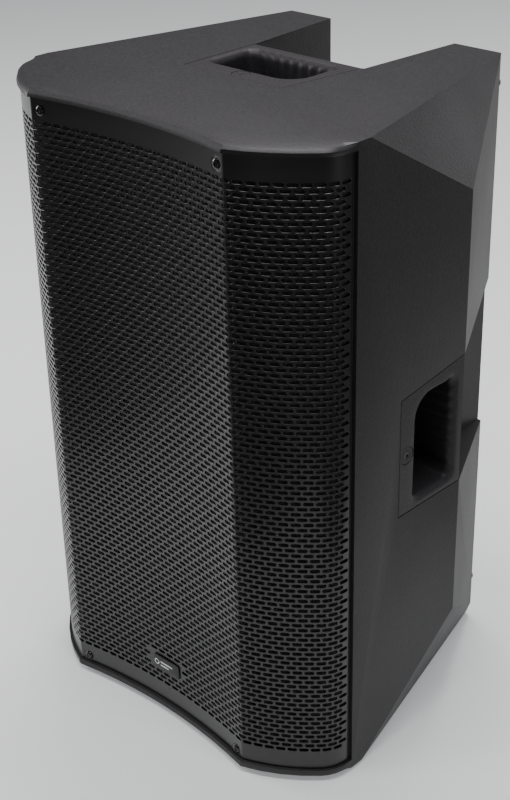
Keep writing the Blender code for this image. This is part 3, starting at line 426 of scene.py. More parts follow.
def mount(name: str, shape: Surface | bpy.types.Mesh, finish: Finish, body: str = "cabinet",
          stands_for: tuple[str, ...] = (), crease: float = 35.0, slot: str = "") -> bpy.types.Object:
    """Make a surface a finished piece of the object.

    Args:
        name: the piece's name.
        shape: points and quads, or a mesh, in cabinet coordinates.
        finish: what it is finished with.
        body: the body it moves with.
        stands_for: CAD nodes it is shown in place of.
        crease: edges sharper than this many degrees stay sharp.
        slot: the record's material slot, where it isn't the finish's own; it is worked out but not used.

    Returns:
        The object.
    """
    mesh = quad_mesh(name, *shape) if isinstance(shape, tuple) else shape
    slot = slot or finish.slot or finish.name
    mesh.polygons.foreach_set("use_smooth", np.ones(len(mesh.polygons), dtype=bool))
    mesh.set_sharp_from_angle(angle=math.radians(crease))
    piece = linked(name, mesh)
    mesh.materials.clear()
    mesh.materials.append(finish.material())
    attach(piece, body)
    if stands_for:
        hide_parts(*stands_for)
    return piece


def scaled(profile: list[Pair], across: float = MM, up: float = MM) -> list[Pair]:
    """A profile with its radii and heights scaled, from millimetres to metres by default."""
    return [(radius * across, height * up) for radius, height in profile]


def turned(seat: Seat, profile: list[Pair], count: int = 48, flutes: int = 0,
           flute_depth: float = 0.0) -> Surface:
    """A turned part: each profile point (radius, height) goes round the seat's w axis.

    A flute takes flute_depth * (1 - cos(flutes * angle)) / 2 off every radius above 60% of the largest.

    Args:
        seat: where the part stands.
        profile: radius and height pairs, from one pole to the other.
        count: points round.
        flutes: number of grooves round the part.
        flute_depth: how deep they are.

    Returns:
        Points and quads.
    """
    radius, height = np.array(profile, dtype=float).T
    angle = around(count)
    outer = (radius > 0.6 * radius.max())[:, None]
    reach = radius[:, None] - outer * flute_depth * (1.0 - np.cos(flutes * angle)) / 2.0
    local = np.stack([reach * np.cos(angle), reach * np.sin(angle),
                      np.broadcast_to(height[:, None], reach.shape)], -1).reshape(-1, 3)
    return seat.at(local), grid_faces(len(radius), count, wrap=True)


def joined(*parts: Surface) -> Surface:
    """Several surfaces as one: their points stacked and their quads renumbered."""
    starts = np.cumsum([0] + [len(points) for points, _ in parts[:-1]])
    return (np.concatenate([points for points, _ in parts]),
            np.concatenate([quads + start for (_, quads), start in zip(parts, starts)]))


def slab(seat: Seat, half_u: float, half_v: float, low: float, high: float, power: float = 8.0,
         edge: float = 0.3 * MM, count: int = 48) -> Surface:
    """A flat block with a superellipse outline and a rounded front edge.

    The outline is u = half_u * cos|t|^(2/power), v the same with sin; rings shrink by the edge radius.

    Args:
        seat: where the block is.
        half_u: half its width.
        half_v: half its height.
        low: w of its back.
        high: w of its front.
        power: 2 is an ellipse, a high power nearly a rectangle.
        edge: radius of the front edge.
        count: points round.

    Returns:
        Points and quads.
    """
    turn = around(count) + math.pi / count
    cos, sin = np.cos(turn), np.sin(turn)
    unit_u = np.sign(cos) * np.abs(cos) ** (2.0 / power)
    unit_v = np.sign(sin) * np.abs(sin) ** (2.0 / power)
    arc = np.linspace(0.0, math.pi / 2.0, 4)
    inset = np.concatenate([[min(half_u, half_v), 0.0], edge * (1.0 - np.cos(arc)), [min(half_u, half_v)]])
    level = np.concatenate([[low, low], high - edge * (1.0 - np.sin(arc)), [high]])
    local = np.stack([unit_u * (half_u - inset[:, None]), unit_v * (half_v - inset[:, None]),
                      np.broadcast_to(level[:, None], (len(level), count))], -1).reshape(-1, 3)
    return seat.at(local), grid_faces(len(level), count, wrap=True)


def node_copy(node: str) -> bpy.types.Mesh:
    """A copy of a CAD node's mesh with its loose triangles merged and its flat faces whole again."""
    work = bmesh.new()
    work.from_mesh(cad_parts[node].data)
    bmesh.ops.remove_doubles(work, verts=work.verts, dist=2e-6)
    bmesh.ops.dissolve_limit(work, angle_limit=math.radians(0.6), verts=work.verts, edges=work.edges)
    mesh = bpy.data.meshes.new(node + "_copy")
    work.to_mesh(mesh)
    work.free()
    return mesh


def softened(node: str, finish: Finish, body: str = "cabinet", width: float = 0.4 * MM, segments: int = 2,
             angle: float = 32.0) -> bpy.types.Object:
    """A CAD node with its sharp edges rounded, shown in the node's place.

    Args:
        node: the CAD node.
        finish: its finish.
        body: the body it moves with.
        width: how wide the rounding is.
        segments: faces across the rounding.
        angle: edges sharper than this many degrees are rounded.

    Returns:
        The object.
    """
    piece = mount(node + "_moulded", node_copy(node), finish, body, (node,), 180.0)
    bevel = piece.modifiers.new("edge rounding", "BEVEL")
    bevel.width = width
    bevel.segments = segments
    bevel.limit_method = "ANGLE"
    bevel.angle_limit = math.radians(angle)
    bevel.harden_normals = True
    bevel.use_clamp_overlap = True
    return piece


# ---- studio ----
@dataclass(frozen=True)
class Studio:
    """Camera, soft lights, a pale floor and two dark cards."""

    eye: Triple = (1.0145, -1.0668, 1.1060)
    yaw: float = 0.7741
    pitch: float = 0.4868
    roll: float = -0.0240
    lens: float = 67.40
    floor_reach: float = 9.0
    floor_glow: float = 0.25
    room: float = 0.13
    backdrop: float = 1.6
    card_height: float = 0.01
    lamp_colour: Triple = (1.0, 0.97, 1.0)
    lamp_aim: Triple = (0.0, 0.0, 0.35)

    def camera(self) -> None:
        """Place the camera: yaw about +Z, then pitch down, then roll about the line of sight."""
        data = bpy.data.cameras.new("camera")
        data.lens = self.lens
        data.sensor_width = 36.0
        data.clip_end = 60.0
        camera = linked("camera", data)
        ahead = Vector((-math.sin(self.yaw) * math.cos(self.pitch), math.cos(self.yaw) * math.cos(self.pitch),
                        -math.sin(self.pitch)))
        right = Vector((math.cos(self.yaw), math.sin(self.yaw), 0.0))
        up = right.cross(ahead)
        side = right * math.cos(self.roll) + up * math.sin(self.roll)
        top = up * math.cos(self.roll) - right * math.sin(self.roll)
        axes = Matrix((side, top, -ahead)).transposed().to_4x4()
        camera.matrix_world = Matrix.Translation(self.eye) @ axes
        bpy.context.scene.camera = camera

    def floor(self) -> None:
        """A flat pale floor: a grid of points at z = 0."""
        line = np.linspace(-self.floor_reach, self.floor_reach, 7)
        x, y = np.meshgrid(line, line, indexing="ij")
        points = np.stack([x.ravel(), y.ravel(), np.zeros(x.size)], -1)
        floor = linked("floor", quad_mesh("floor", points, grid_faces(7, 7)))
        graph = Graph("floor_finish")
        spread = graph.noise(graph.place(), 0.4)
        graph.feed(Base_Color=graph.mix(spread, (0.83, 0.86, 0.84), (0.86, 0.89, 0.87)), Roughness=0.75,
                   Emission_Color=(0.95, 0.97, 1.0), Emission_Strength=self.floor_glow)
        floor.data.materials.append(graph.material)

    def light(self, name: str, place: Triple, size: Pair,
              power: float) -> None:
        """Add a rectangular soft light.

        Args:
            name: the light's name.
            place: where it hangs.
            size: its width and height.
            power: watts.
        """
        data = bpy.data.lights.new(name, "AREA")
        data.shape = "RECTANGLE"
        data.size, data.size_y = size
        data.energy = power
        data.color = self.lamp_colour
        lamp = linked(name, data)
        lamp.location = place
        lamp.rotation_euler = (Vector(self.lamp_aim) - Vector(place)).to_track_quat("-Z", "Y").to_euler()

    def flag(self, name: str, x: Pair, y: Pair) -> None:
        """A dark card over the floor that only reflections and bounced light see.

        Args:
            name: the card's name.
            x: its extent across.
            y: its extent in depth.
        """
        corners = ((x[0], y[0]), (x[1], y[0]), (x[1], y[1]), (x[0], y[1]))
        points = np.array([(*corner, self.card_height) for corner in corners])
        card = linked(name, quad_mesh(name, points, np.array([[0, 1, 2, 3]])))
        graph = Graph(name + "_finish")
        nap = graph.noise(graph.place(), 0.02)
        graph.feed(Base_Color=graph.mix(nap, grey(0.09), grey(0.12)), Roughness=0.95)
        card.data.materials.append(graph.material)
        card.visible_camera = False
        card.visible_shadow = False

    def surroundings(self) -> None:
        """A dim room whose backdrop looks pale to the camera."""
        world = bpy.data.worlds.new("room")
        bpy.context.scene.world = world
        world.use_nodes = True
        tree = world.node_tree
        back = tree.nodes["Background"]
        back.inputs["Color"].default_value = (0.93, 0.94, 0.96, 1.0)
        seen = tree.nodes.new("ShaderNodeLightPath").outputs["Is Camera Ray"]
        strength = tree.nodes.new("ShaderNodeMapRange")
        strength.inputs["To Min"].default_value = self.room
        strength.inputs["To Max"].default_value = self.backdrop
        tree.links.new(seen, strength.inputs["Value"])
        tree.links.new(strength.outputs[0], back.inputs["Strength"])

    def build(self) -> None:
        """Camera first, then the floor, the room, the lights and the cards."""
        self.camera()
        self.floor()
        self.surroundings()
        self.light("left_softbox", (-2.6, -0.9, 1.3), (0.9, 1.8), 38.0)
        self.light("rear_softbox", (0.5, 3.3, 0.9), (3.0, 1.0), 22.0)
        self.light("overhead", (-0.4, 0.7, 2.8), (1.3, 1.3), 48.0)
        self.light("front_strip", (0.30, -0.50, 2.4), (1.9, 0.30), 31.0)
        self.light("right_fill", (3.0, 0.1, 0.7), (1.0, 1.0), 9.0)
        self.flag("right_flag", (0.62, 4.0), (-2.5, 2.2))
        self.flag("front_flag", (-3.0, 0.6), (-4.0, -0.62))


# ---- cabinet ----
@dataclass
class Cabinet:
    """The moulded shell with its rounded edges, and a painted highlight on its lips over the cheeks: a
    smoother, darker copy of the shell finish.
    """

    edge: float = 1.3 * MM
    lip_back: float = -0.1200
    lip_side: float = 0.1290
    steepest: float = 0.93

    def build(self) -> None:
        """Round every sharp edge, texture the shell, and paint a highlight on the lips' outward faces over
        the cheeks with a smoother, darker copy of the shell finish.

        Such a face has its middle ahead of lip_back and outside lip_side, and doesn't lie flat.
        """
        shell = softened("cabinet_shell", SHELL, width=self.edge, segments=3, angle=21.0)
        mesh = shell.data
        mesh.materials.append(LIP_HIGHLIGHT.material())
        centre = np.empty(len(mesh.polygons) * 3)
        normal = np.empty(len(mesh.polygons) * 3)
        mesh.polygons.foreach_get("center", centre)
        mesh.polygons.foreach_get("normal", normal)
        middle = centre.reshape(-1, 3)
        # The lip faces over the cheeks take the painted highlight copy of the finish.
        ahead = (middle[:, 1] < self.lip_back) & (np.abs(middle[:, 0]) > self.lip_side)
        upright = np.abs(normal.reshape(-1, 3)[:, 2]) < self.steepest
        mesh.polygons.foreach_set("material_index", (ahead & upright).astype(np.int32))


@dataclass
class FrontCurve:
    """The plan of the grille's face, as a heading that changes along the arc length.

    The middle panel is hollow, a tight bend makes the ridge, then come the cheek arc and the corner arc.
    """

    ridge_x: float = 0.1315
    ridge_y: float = -0.1965
    sag: float = 0.013
    cheek_radius: float = 0.197
    corner_radius: float = 0.041
    bend_radius: float = 3.0 * MM
    turns: Triple = (math.radians(20), math.radians(45), math.radians(90))
    step: float = 0.1 * MM

    def __post_init__(self) -> None:
        """Integrate cos and sin of the heading by the midpoint rule."""
        first, second, last = self.turns
        hollow = (self.ridge_x ** 2 + self.sag ** 2) / (2.0 * self.sag)
        reach = math.asin(self.ridge_x / hollow)
        bend = reach + first
        trim = self.bend_radius * math.tan(bend / 2.0)
        self.bend_start = hollow * reach - trim
        self.bend_end = self.bend_start + self.bend_radius * bend
        cheek = self.bend_end + self.cheek_radius * (second - first) - trim
        self.end = cheek + self.corner_radius * (last - second)
        self.s = np.arange(0.0, self.end + self.step, self.step)
        self.heading = np.interp(self.s, [0.0, self.bend_start, self.bend_end, cheek, self.end],
                                 [0.0, -self.bend_start / hollow, first, second, last])
        middle = self.heading[1:] / 2 + self.heading[:-1] / 2
        self.x = np.concatenate([[0.0], np.cumsum(np.cos(middle))]) * self.step
        drop = np.concatenate([[0.0], np.cumsum(np.sin(middle))]) * self.step
        self.y = self.ridge_y + self.sag + drop

    def at(self, s: np.ndarray, depth: np.ndarray, z: np.ndarray) -> np.ndarray:
        """Points at arc length s, a depth behind the face, at height z.

        Args:
            s: signed arc length from the middle.
            depth: distance behind the outer face.
            z: height.

        Returns:
            (n, 3) points: the curve's point less depth times its outward normal.
        """
        s, depth, z = np.broadcast_arrays(s, depth, z)
        side, run = np.sign(s), np.abs(s)
        heading = np.interp(run, self.s, self.heading)
        x = np.interp(run, self.s, self.x) - depth * np.sin(heading)
        y = np.interp(run, self.s, self.y) + depth * np.cos(heading)
        return np.stack([side * x, y, z], -1).reshape(-1, 3)


@dataclass
class FrontGrille:
    """Perforated steel in three panels, its plain borders, the foam, the screws and the badge."""

    thickness: float = 1.2 * MM
    bottom: float = field(default_factory=lambda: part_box("front_grille")[0].z)
    top: float = field(default_factory=lambda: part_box("front_grille")[1].z)
    slots_bottom: float = 0.0370
    slots_top: float = 0.6692
    rows: int = 106
    pitch: float = 12.4 * MM
    slot: Pair = (10.2 * MM, 3.7 * MM)
    chamfer: Pair = (0.20 * MM, 0.36 * MM)
    margin: float = 0.7 * MM
    screw_x: float = 0.1215
    screw_z: Pair = (0.022, 0.6785)
    dimple_radius: float = 8.4 * MM
    dimple_depth: float = 1.9 * MM
    badge_centre: Pair = (0.0045, 0.066)
    badge_keep: Pair = (0.0270, 0.0110)
    foam_depths: Pair = (1.5 * MM, 8.3 * MM)
    quilt: float = 0.25 * MM
    head_radius: float = 5.5 * MM
    recess_depth: float = 1.3 * MM
    curve: FrontCurve = field(default_factory=FrontCurve)

    @property
    def columns(self) -> float:
        """Slots in a row, with the half one that leaves room for the odd rows' shift."""
        return round(2.0 * (self.curve.end - self.margin) / self.pitch) + 0.5

    @property
    def screw_places(self) -> list[Pair]:
        """The x and z of each screw."""
        return [(x, z) for x in (-self.screw_x, self.screw_x) for z in self.screw_z]

    def slot_rings(self, chamfer: float) -> list[tuple[np.ndarray, float]]:
        """Twelve points round a slot at three levels: chamfer's outside, chamfer's inside, back.

        The slot is a bar with round ends; five points follow each end and one sits above and below.

        Args:
            chamfer: width and depth of the broken edge.

        Returns:
            Pairs of an outline and its depth.
        """
        rings = []
        flat = (self.slot[0] - self.slot[1]) / 2
        for grow, depth in ((chamfer, 0.0), (0.0, chamfer), (0.0, self.thickness)):
            radius = self.slot[1] / 2 + grow
            diagonal = radius * math.sqrt(0.5)
            half = np.array([[-flat - diagonal, -diagonal], [-flat, -radius], [0.0, -radius],
                             [flat, -radius], [flat + diagonal, -diagonal], [flat + radius, 0.0]])
            rings.append((np.concatenate([half, -half]), depth))
        return rings

    def panel(self, region: int, chamfer: float) -> Surface:
        """One region of the perforated sheet, with real thickness.

        The sheet is a lattice of quarter-pitch by half-row steps. A slot's cell is four by two steps, and
        odd rows move by two steps, so the rows interlock across the ridges. Steps outside a cell are plain.

        Args:
            region: 0 to 3 from left to right: cheek, two halves of the middle, cheek.
            chamfer: the slots' broken edge.

        Returns:
            Points and quads.
        """
        steps = int(round(self.columns * 4))
        end = self.curve.end
        s = np.concatenate([[-end], np.linspace(-end + self.margin, end - self.margin, steps + 1), [end]])
        z = np.linspace(self.slots_bottom, self.slots_top, 2 * self.rows + 1)
        ridge = (self.curve.bend_start + self.curve.bend_end) / 2
        limits = np.array([-ridge, 0.0, ridge])
        wide, tall = len(s), len(z)
        flat_s, flat_z = np.tile(s, tall), np.repeat(z, wide)
        layers = [self.curve.at(flat_s, 0.0, flat_z), self.curve.at(flat_s, self.thickness, flat_z)]
        back = wide * tall
        row, column = np.meshgrid(np.arange(self.rows), np.arange(int(self.columns)), indexing="ij")
        left = 1 + 4 * column + 2 * (row % 2)
        middle_s = s[left + 2]
        middle_z = z[2 * row + 1]
        badge_s, badge_z = self.badge_centre
        near = np.abs(middle_s - badge_s) < self.badge_keep[0]
        near &= np.abs(middle_z - badge_z) < self.badge_keep[1]
        plain = np.ones((tall - 1, wide - 1), dtype=bool)
        for across in range(4):
            for up in range(2):
                plain[(2 * row + up)[~near], (left + across)[~near]] = False
        plain &= np.digitize((s[:-1] + s[1:]) / 2, limits) == region
        chosen = ~near & (np.digitize(middle_s, limits) == region)
        lattice = grid_faces(tall, wide).reshape(tall - 1, wide - 1, 4)[plain]
        quads = [lattice, lattice + back]
        ring_u = np.array([0, 1, 2, 3, 4, 4, 4, 3, 2, 1, 0, 0])
        ring_v = np.array([0, 0, 0, 0, 0, 1, 2, 2, 2, 2, 2, 1])
        outer = (2 * row[chosen][:, None] + ring_v) * wide + left[chosen][:, None] + ring_u
        count = len(outer)
        number = 2 * back + np.arange(count * 12).reshape(count, 12)
        loops = [outer]
        for index, (ring, depth) in enumerate(self.slot_rings(chamfer)):
            ring_s = middle_s[chosen][:, None] + ring[:, 0]
            ring_z = middle_z[chosen][:, None] + ring[:, 1]
            layers.append(self.curve.at(ring_s, depth, ring_z))
            loops.append(number + index * count * 12)
        loops.append(outer + back)
        for low, high in zip(loops[:-1], loops[1:]):
            nxt_low, nxt_high = np.roll(low, -1, axis=1), np.roll(high, -1, axis=1)
            quads.append(np.stack([low, nxt_low, nxt_high, high], -1).reshape(-1, 4))
        for side, last in ((0, 0), (3, wide - 1)):
            if side == region:
                line = np.arange(tall) * wide + last
                quads.append(np.stack([line[:-1], line[1:], line[1:] + back, line[:-1] + back], -1))
        used, faces = np.unique(np.concatenate(quads), return_inverse=True)
        return np.concatenate(layers)[used], faces.reshape(-1, 4)

    def dimples(self, s: np.ndarray, z: np.ndarray) -> np.ndarray:
        """Depth of the dishes round the screws: a half cosine of the distance to the nearest screw."""
        depth = np.zeros_like(s)
        for x, height in self.screw_places:
            reach = np.hypot(s - x * 1.0018, z - height)
            share = np.clip(reach / self.dimple_radius, 0, 1)
            depth += self.dimple_depth * 0.5 * (1.0 + np.cos(np.pi * share))
        return depth

    def lattice(self, low: float, high: float, columns: int, rows: int) -> Surface:
        """Arc lengths and heights of a grid from side to side between two heights."""
        across = np.linspace(-self.curve.end, self.curve.end, columns)
        return tuple(np.meshgrid(across, np.linspace(low, high, rows)))

    def layer(self, s: np.ndarray, z: np.ndarray, outer: np.ndarray, inner: np.ndarray) -> Surface:
        """A closed slab behind the face between two depths.

        Args:
            s: a grid of arc lengths.
            z: the grid's heights.
            outer: the depth of its front at each place.
            inner: the depth of its back at each place.

        Returns:
            Points and quads.
        """
        rows, columns = z.shape
        front = self.curve.at(s, outer, z).reshape(rows, columns, 3)
        rear = self.curve.at(s, inner, z).reshape(rows, columns, 3)
        ring = np.concatenate([front, rear[::-1], front[:1]], axis=0)
        sides = []
        for column in (0, columns - 1):
            line = np.arange(rows) * columns + column
            mirror = (2 * rows - 1 - np.arange(rows)) * columns + column
            sides.append(np.stack([line[:-1], line[1:], mirror[1:], mirror[:-1]], -1))
        return ring.reshape(-1, 3), np.concatenate([grid_faces(2 * rows + 1, columns), *sides])

    def border(self, low: float, high: float) -> Surface:
        """A plain band across all three panels between two heights, dished at the screws."""
        s, z = self.lattice(low, high, 440, max(4, int((high - low) / (1.0 * MM))))
        dish = self.dimples(s, z)
        return self.layer(s, z, dish, dish + self.thickness)

    def foam(self) -> None:
        """The acoustic foam: a slab that follows the face, with a shallow quilt of its own softness."""
        s, z = self.lattice(self.bottom + 1.0 * MM, self.top - 1.0 * MM, 240, 220)
        soft = self.quilt * (np.sin(s * 310.0) * np.sin(z * 270.0) + 1.0)
        near, far = self.foam_depths
        sheet = self.layer(s, z, self.thickness + near + soft, self.thickness + far - soft)
        piece = mount("foam_sheet", sheet, FOAM, stands_for=("grille_foam",))

    def screws(self) -> None:
        """Domed screws: a dome profile with a four-lobed drive recess pressed into it."""
        r, a = np.meshgrid(np.linspace(0.0, self.head_radius, 22), around(48), indexing="ij")
        dome = 3.0 * MM * np.sqrt(np.clip(1.0 - (r / (5.7 * MM)) ** 2, 0.0, 1.0)) - 0.9 * MM
        arm = np.minimum(np.abs(r * np.sin(a)), np.abs(r * np.cos(a)))
        lobes = np.clip((0.65 * MM - arm) / (0.3 * MM), 0, 1)
        recess = self.recess_depth * lobes * np.clip((2.7 * MM - r) / (0.4 * MM), 0, 1)
        top = np.stack([r * np.cos(a), r * np.sin(a), dome - recess], -1)
        skirt = top[-1:].copy()
        skirt[..., 2] = -3.0 * MM
        pole = skirt * np.array([0.0, 0.0, 1.0])
        local = np.concatenate([top, skirt, pole]).reshape(-1, 3)
        faces = grid_faces(24, 48, wrap=True)
        for number, (x, z) in enumerate(self.screw_places, 1):
            seat = front_seat(x, float(self.curve.at(np.array([x]), 0.0, z)[0, 1]), z)
            mount("grille_screw_head_%d" % number, (seat.at(local), faces), SCREW,
                  stands_for=("grille_screw_%d" % number,), crease=50.0)

    def badge(self) -> None:
        """A plain plate with a generic mark: a ring and two bars."""
        low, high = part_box("badge")
        seat = front_seat((low.x + high.x) / 2 + self.badge_centre[0], high.y, (low.z + high.z) / 2)
        plate = slab(seat, 0.0250 - abs(self.badge_centre[0]), 0.0092, 0.2 * MM, 1.1 * MM, 10.0)
        mount("badge_plate", plate, BADGE, stands_for=("badge",))
        tube = np.linspace(0.0, 2.0 * math.pi, 9)
        ring = [(3.0 + 0.7 * math.cos(t), 1.1 + 0.35 * math.sin(t)) for t in tube]
        parts = [turned(seat.moved(-0.0145, 0.0), scaled(ring), 40)]
        for offset, half in ((2.1, 9.5), (-2.1, 6.5)):
            bar = seat.moved(-0.0085 + half * MM, offset * MM)
            parts.append(slab(bar, half * MM, 1.0 * MM, 0.9 * MM, 1.45 * MM, 6.0, 0.15 * MM, 32))
        mount("badge_mark", joined(*parts), BADGE_MARK, stands_for=("badge",))

    def build(self) -> None:
        """Panels, borders, foam, screws and badge."""
        fine, coarse = self.chamfer
        names = ("grille_left_cheek", "grille_middle_left", "grille_middle_right", "grille_right_cheek")
        for region, (name, chamfer) in enumerate(zip(names, (coarse, fine, fine, coarse))):
            mount(name, self.panel(region, chamfer), STEEL, stands_for=("front_grille",), crease=40.0)
        bands = joined(self.border(self.bottom, self.slots_bottom), self.border(self.slots_top, self.top))
        mount("grille_borders", bands, STEEL, stands_for=("front_grille",), crease=50.0)
        self.foam()
        self.screws()
        self.badge()


# ---- hand grips ----
@dataclass
class HandGrip:
    """A moulded cup with a flange, finger scallops along its bar and a capped screw.

    Local u runs along the grip from its square end, v from its front edge to the bar, w outwards.
    """

    name: str
    seat: Seat
    front_length: float = 0.1335
    rear_length: float = 0.148
    width: float = 0.102
    flange: float = 3.0 * MM
    depth: float = 0.052
    wall: float = 2.5 * MM
    pocket_u: Pair = (0.0115, 0.1275)
    pocket_v: Pair = (0.0235, 0.0865)
    corner_radii: tuple[float, float, float, float] = (0.011, 0.026, 0.010, 0.010)
    screw_at: Pair = (0.068, 0.0115)
    rim: Pair = (2.4 * MM, 8.0 * MM)
    seam: float = 0.35 * MM
    scallops: int = 9
    scallop_depth: float = 1.2 * MM
    floor_round: float = 8.0 * MM
    rim_fall: float = 1.15
    draft: float = 1.2 * MM

    def pocket_outline(self, grow: float) -> np.ndarray:
        """The pocket's closed outline: straight sides with round corners, grown by an amount."""
        u0, u1 = self.pocket_u[0] - grow, self.pocket_u[1] + grow
        v0, v1 = self.pocket_v[0] - grow, self.pocket_v[1] + grow
        quarter = np.linspace(0.0, math.pi / 2.0, 13)
        corners = ((u0, v0, math.pi), (u1, v0, 1.5 * math.pi), (u1, v1, 0.0), (u0, v1, 0.5 * math.pi))
        middle = np.array([(u0 + u1) / 2, (v0 + v1) / 2])
        points = []
        for (u, v, turn), radius in zip(corners, self.corner_radii):
            r = radius + grow
            centre = np.array([u, v]) + r * np.sign(middle - np.array([u, v]))
            points.append(centre + r * np.stack([np.cos(turn + quarter), np.sin(turn + quarter)], -1))
        return np.concatenate(points)

    def flange_outline(self, inset: float) -> np.ndarray:
        """The flange: a square end and a slanted end, moved in by an inset."""
        return np.array([(inset, inset), (self.front_length - inset, inset),
                         (self.rear_length - inset, self.width - inset), (inset, self.width - inset)])

    def reach(self, outline: np.ndarray, centre: np.ndarray, angle: np.ndarray) -> np.ndarray:
        """Distance from the centre to an outline along each angle: the nearest crossing of ray and side."""
        a = outline - centre
        b = np.roll(a, -1, axis=0)
        ray = np.stack([np.cos(angle), np.sin(angle)], -1)
        side = b - a
        cross = ray[:, None, 0] * side[None, :, 1] - ray[:, None, 1] * side[None, :, 0]
        cross = np.where(np.abs(cross) < 1e-12, 1e-12, cross)
        t = (a[None, :, 0] * side[None, :, 1] - a[None, :, 1] * side[None, :, 0]) / cross
        q = (a[None, :, 0] * ray[:, None, 1] - a[None, :, 1] * ray[:, None, 0]) / cross
        return np.where((t > 0) & (q >= -1e-6) & (q <= 1 + 1e-6), t, np.inf).min(axis=1)

    def surface(self) -> Surface:
        """The closed skin: rings of one set of rays from the underside, over the flange, into the cup.

        Returns:
            Points and quads. The rim is a quarter ellipse that is widest on the bar's side; the scallops
            move the bar's wall by scallop_depth * (1 - cos(2 pi * scallops * u / length)) / 2.
        """
        centre = np.array([sum(self.pocket_u) / 2, sum(self.pocket_v) / 2])
        corner = self.flange_outline(0.0) - centre
        angle = np.sort(np.concatenate([np.linspace(-math.pi, math.pi, 280, endpoint=False),
                                        np.arctan2(corner[:, 1], corner[:, 0])]))
        at_wall = self.reach(self.pocket_outline(0.0), centre, angle)
        grown = (self.reach(self.pocket_outline(4.0 * MM), centre, angle) - at_wall) / (4.0 * MM)
        bar = np.clip((np.sin(angle) * at_wall - 0.016) / 0.012, 0.0, 1.0)
        bar = bar * bar * (3.0 - 2.0 * bar)
        low_end = np.clip((-np.cos(angle) * at_wall - 0.040) / 0.014, 0.0, 1.0)
        rim = self.rim[0] + (self.rim[1] - self.rim[0]) * np.maximum(bar, 0.8 * low_end * low_end)
        u_wall = centre[0] + np.cos(angle) * at_wall
        phase = (u_wall - self.pocket_u[0]) / (self.pocket_u[1] - self.pocket_u[0])
        wave = self.scallop_depth * bar * (0.5 - 0.5 * np.cos(2.0 * math.pi * self.scallops * phase))
        full = self.reach(self.flange_outline(self.seam), centre, angle)
        inner = self.reach(self.flange_outline(self.seam + 0.5 * MM), centre, angle)
        cup = at_wall + grown * self.wall
        under = -self.depth - self.wall
        edge = at_wall + grown * rim
        rings = [(cup * 0.0, under), (cup * 0.9, under), (cup, under + 4.0 * MM),
                 (cup + 0.3 * MM, -self.flange), (full, -self.flange), (full, -0.6 * MM),
                 (full * 0.3 + inner * 0.7, -0.15 * MM), (inner, 0.0), ((inner + edge) / 2, 0.0), (edge, 0.0)]
        for turn in np.linspace(0.0, math.pi / 2.0, 9)[1:]:
            sink = rim * self.rim_fall * (1.0 - math.cos(turn))
            out = rim * (1.0 - math.sin(turn)) - wave * math.sin(turn) ** 2
            rings.append((at_wall + grown * out, -sink))
        top = rim * self.rim_fall
        for share in (0.25, 0.5, 0.75, 1.0):
            level = top + (self.depth - self.floor_round - top) * share
            inset = wave * (1.0 - 0.55 * share) + self.draft * share
            rings.append((at_wall - grown * inset, -level))
        for turn in np.linspace(0.0, math.pi / 2.0, 7)[1:]:
            inset = wave * 0.45 * math.cos(turn) + self.draft + self.floor_round * (1.0 - math.cos(turn))
            rings.append((at_wall - grown * inset, -self.depth + self.floor_round * (1.0 - math.sin(turn))))
        base = rings[-1][0]
        rings.extend((base * share, -self.depth) for share in (0.66, 0.33, 0.0))
        radius = np.array([ring for ring, _ in rings])
        level = np.array([np.broadcast_to(height, base.shape) for _, height in rings])
        local = np.stack([centre[0] + radius * np.cos(angle), centre[1] + radius * np.sin(angle), level], -1)
        return self.seat.at(local.reshape(-1, 3)), grid_faces(len(rings), len(angle), wrap=True)

    def build(self) -> None:
        """The grip with its screw well sunk in, and the ringed cap in the well."""
        grip = mount(self.name + "_cup", self.surface(), HANDLE, stands_for=(self.name,), crease=30.0)
        spot = self.seat.moved(*self.screw_at)
        well = turned(spot, scaled([(0.0, 1.0), (9.9, 1.0), (9.9, -1.4), (0.0, -1.4)]), 64)
        tool = linked("well", quad_mesh("well", *well))
        cut = grip.modifiers.new("screw well", "BOOLEAN")
        cut.operation = "DIFFERENCE"
        cut.solver = "EXACT"
        cut.object = tool
        bpy.context.view_layer.update()
        evaluated = grip.evaluated_get(bpy.context.evaluated_depsgraph_get())
        result = bpy.data.meshes.new_from_object(evaluated)
        grip.modifiers.remove(cut)
        grip.data = result
        bpy.data.objects.remove(tool)
        result.set_sharp_from_angle(angle=math.radians(30.0))
        rings = [(0.0, -2.6), (1.5, -2.6), (1.6, -0.4), (1.9, -0.15), (5.2, -0.15), (5.4, -0.45),
                 (5.8, -0.45), (6.0, -0.15), (9.1, -0.15), (9.45, -0.45), (9.45, -1.3), (0.0, -2.9)]
        mount(self.name + "_screw_cap", turned(spot, scaled(rings), 64), HANDLE,
              stands_for=(self.name + "_screw",), crease=40.0, slot="black_screw")


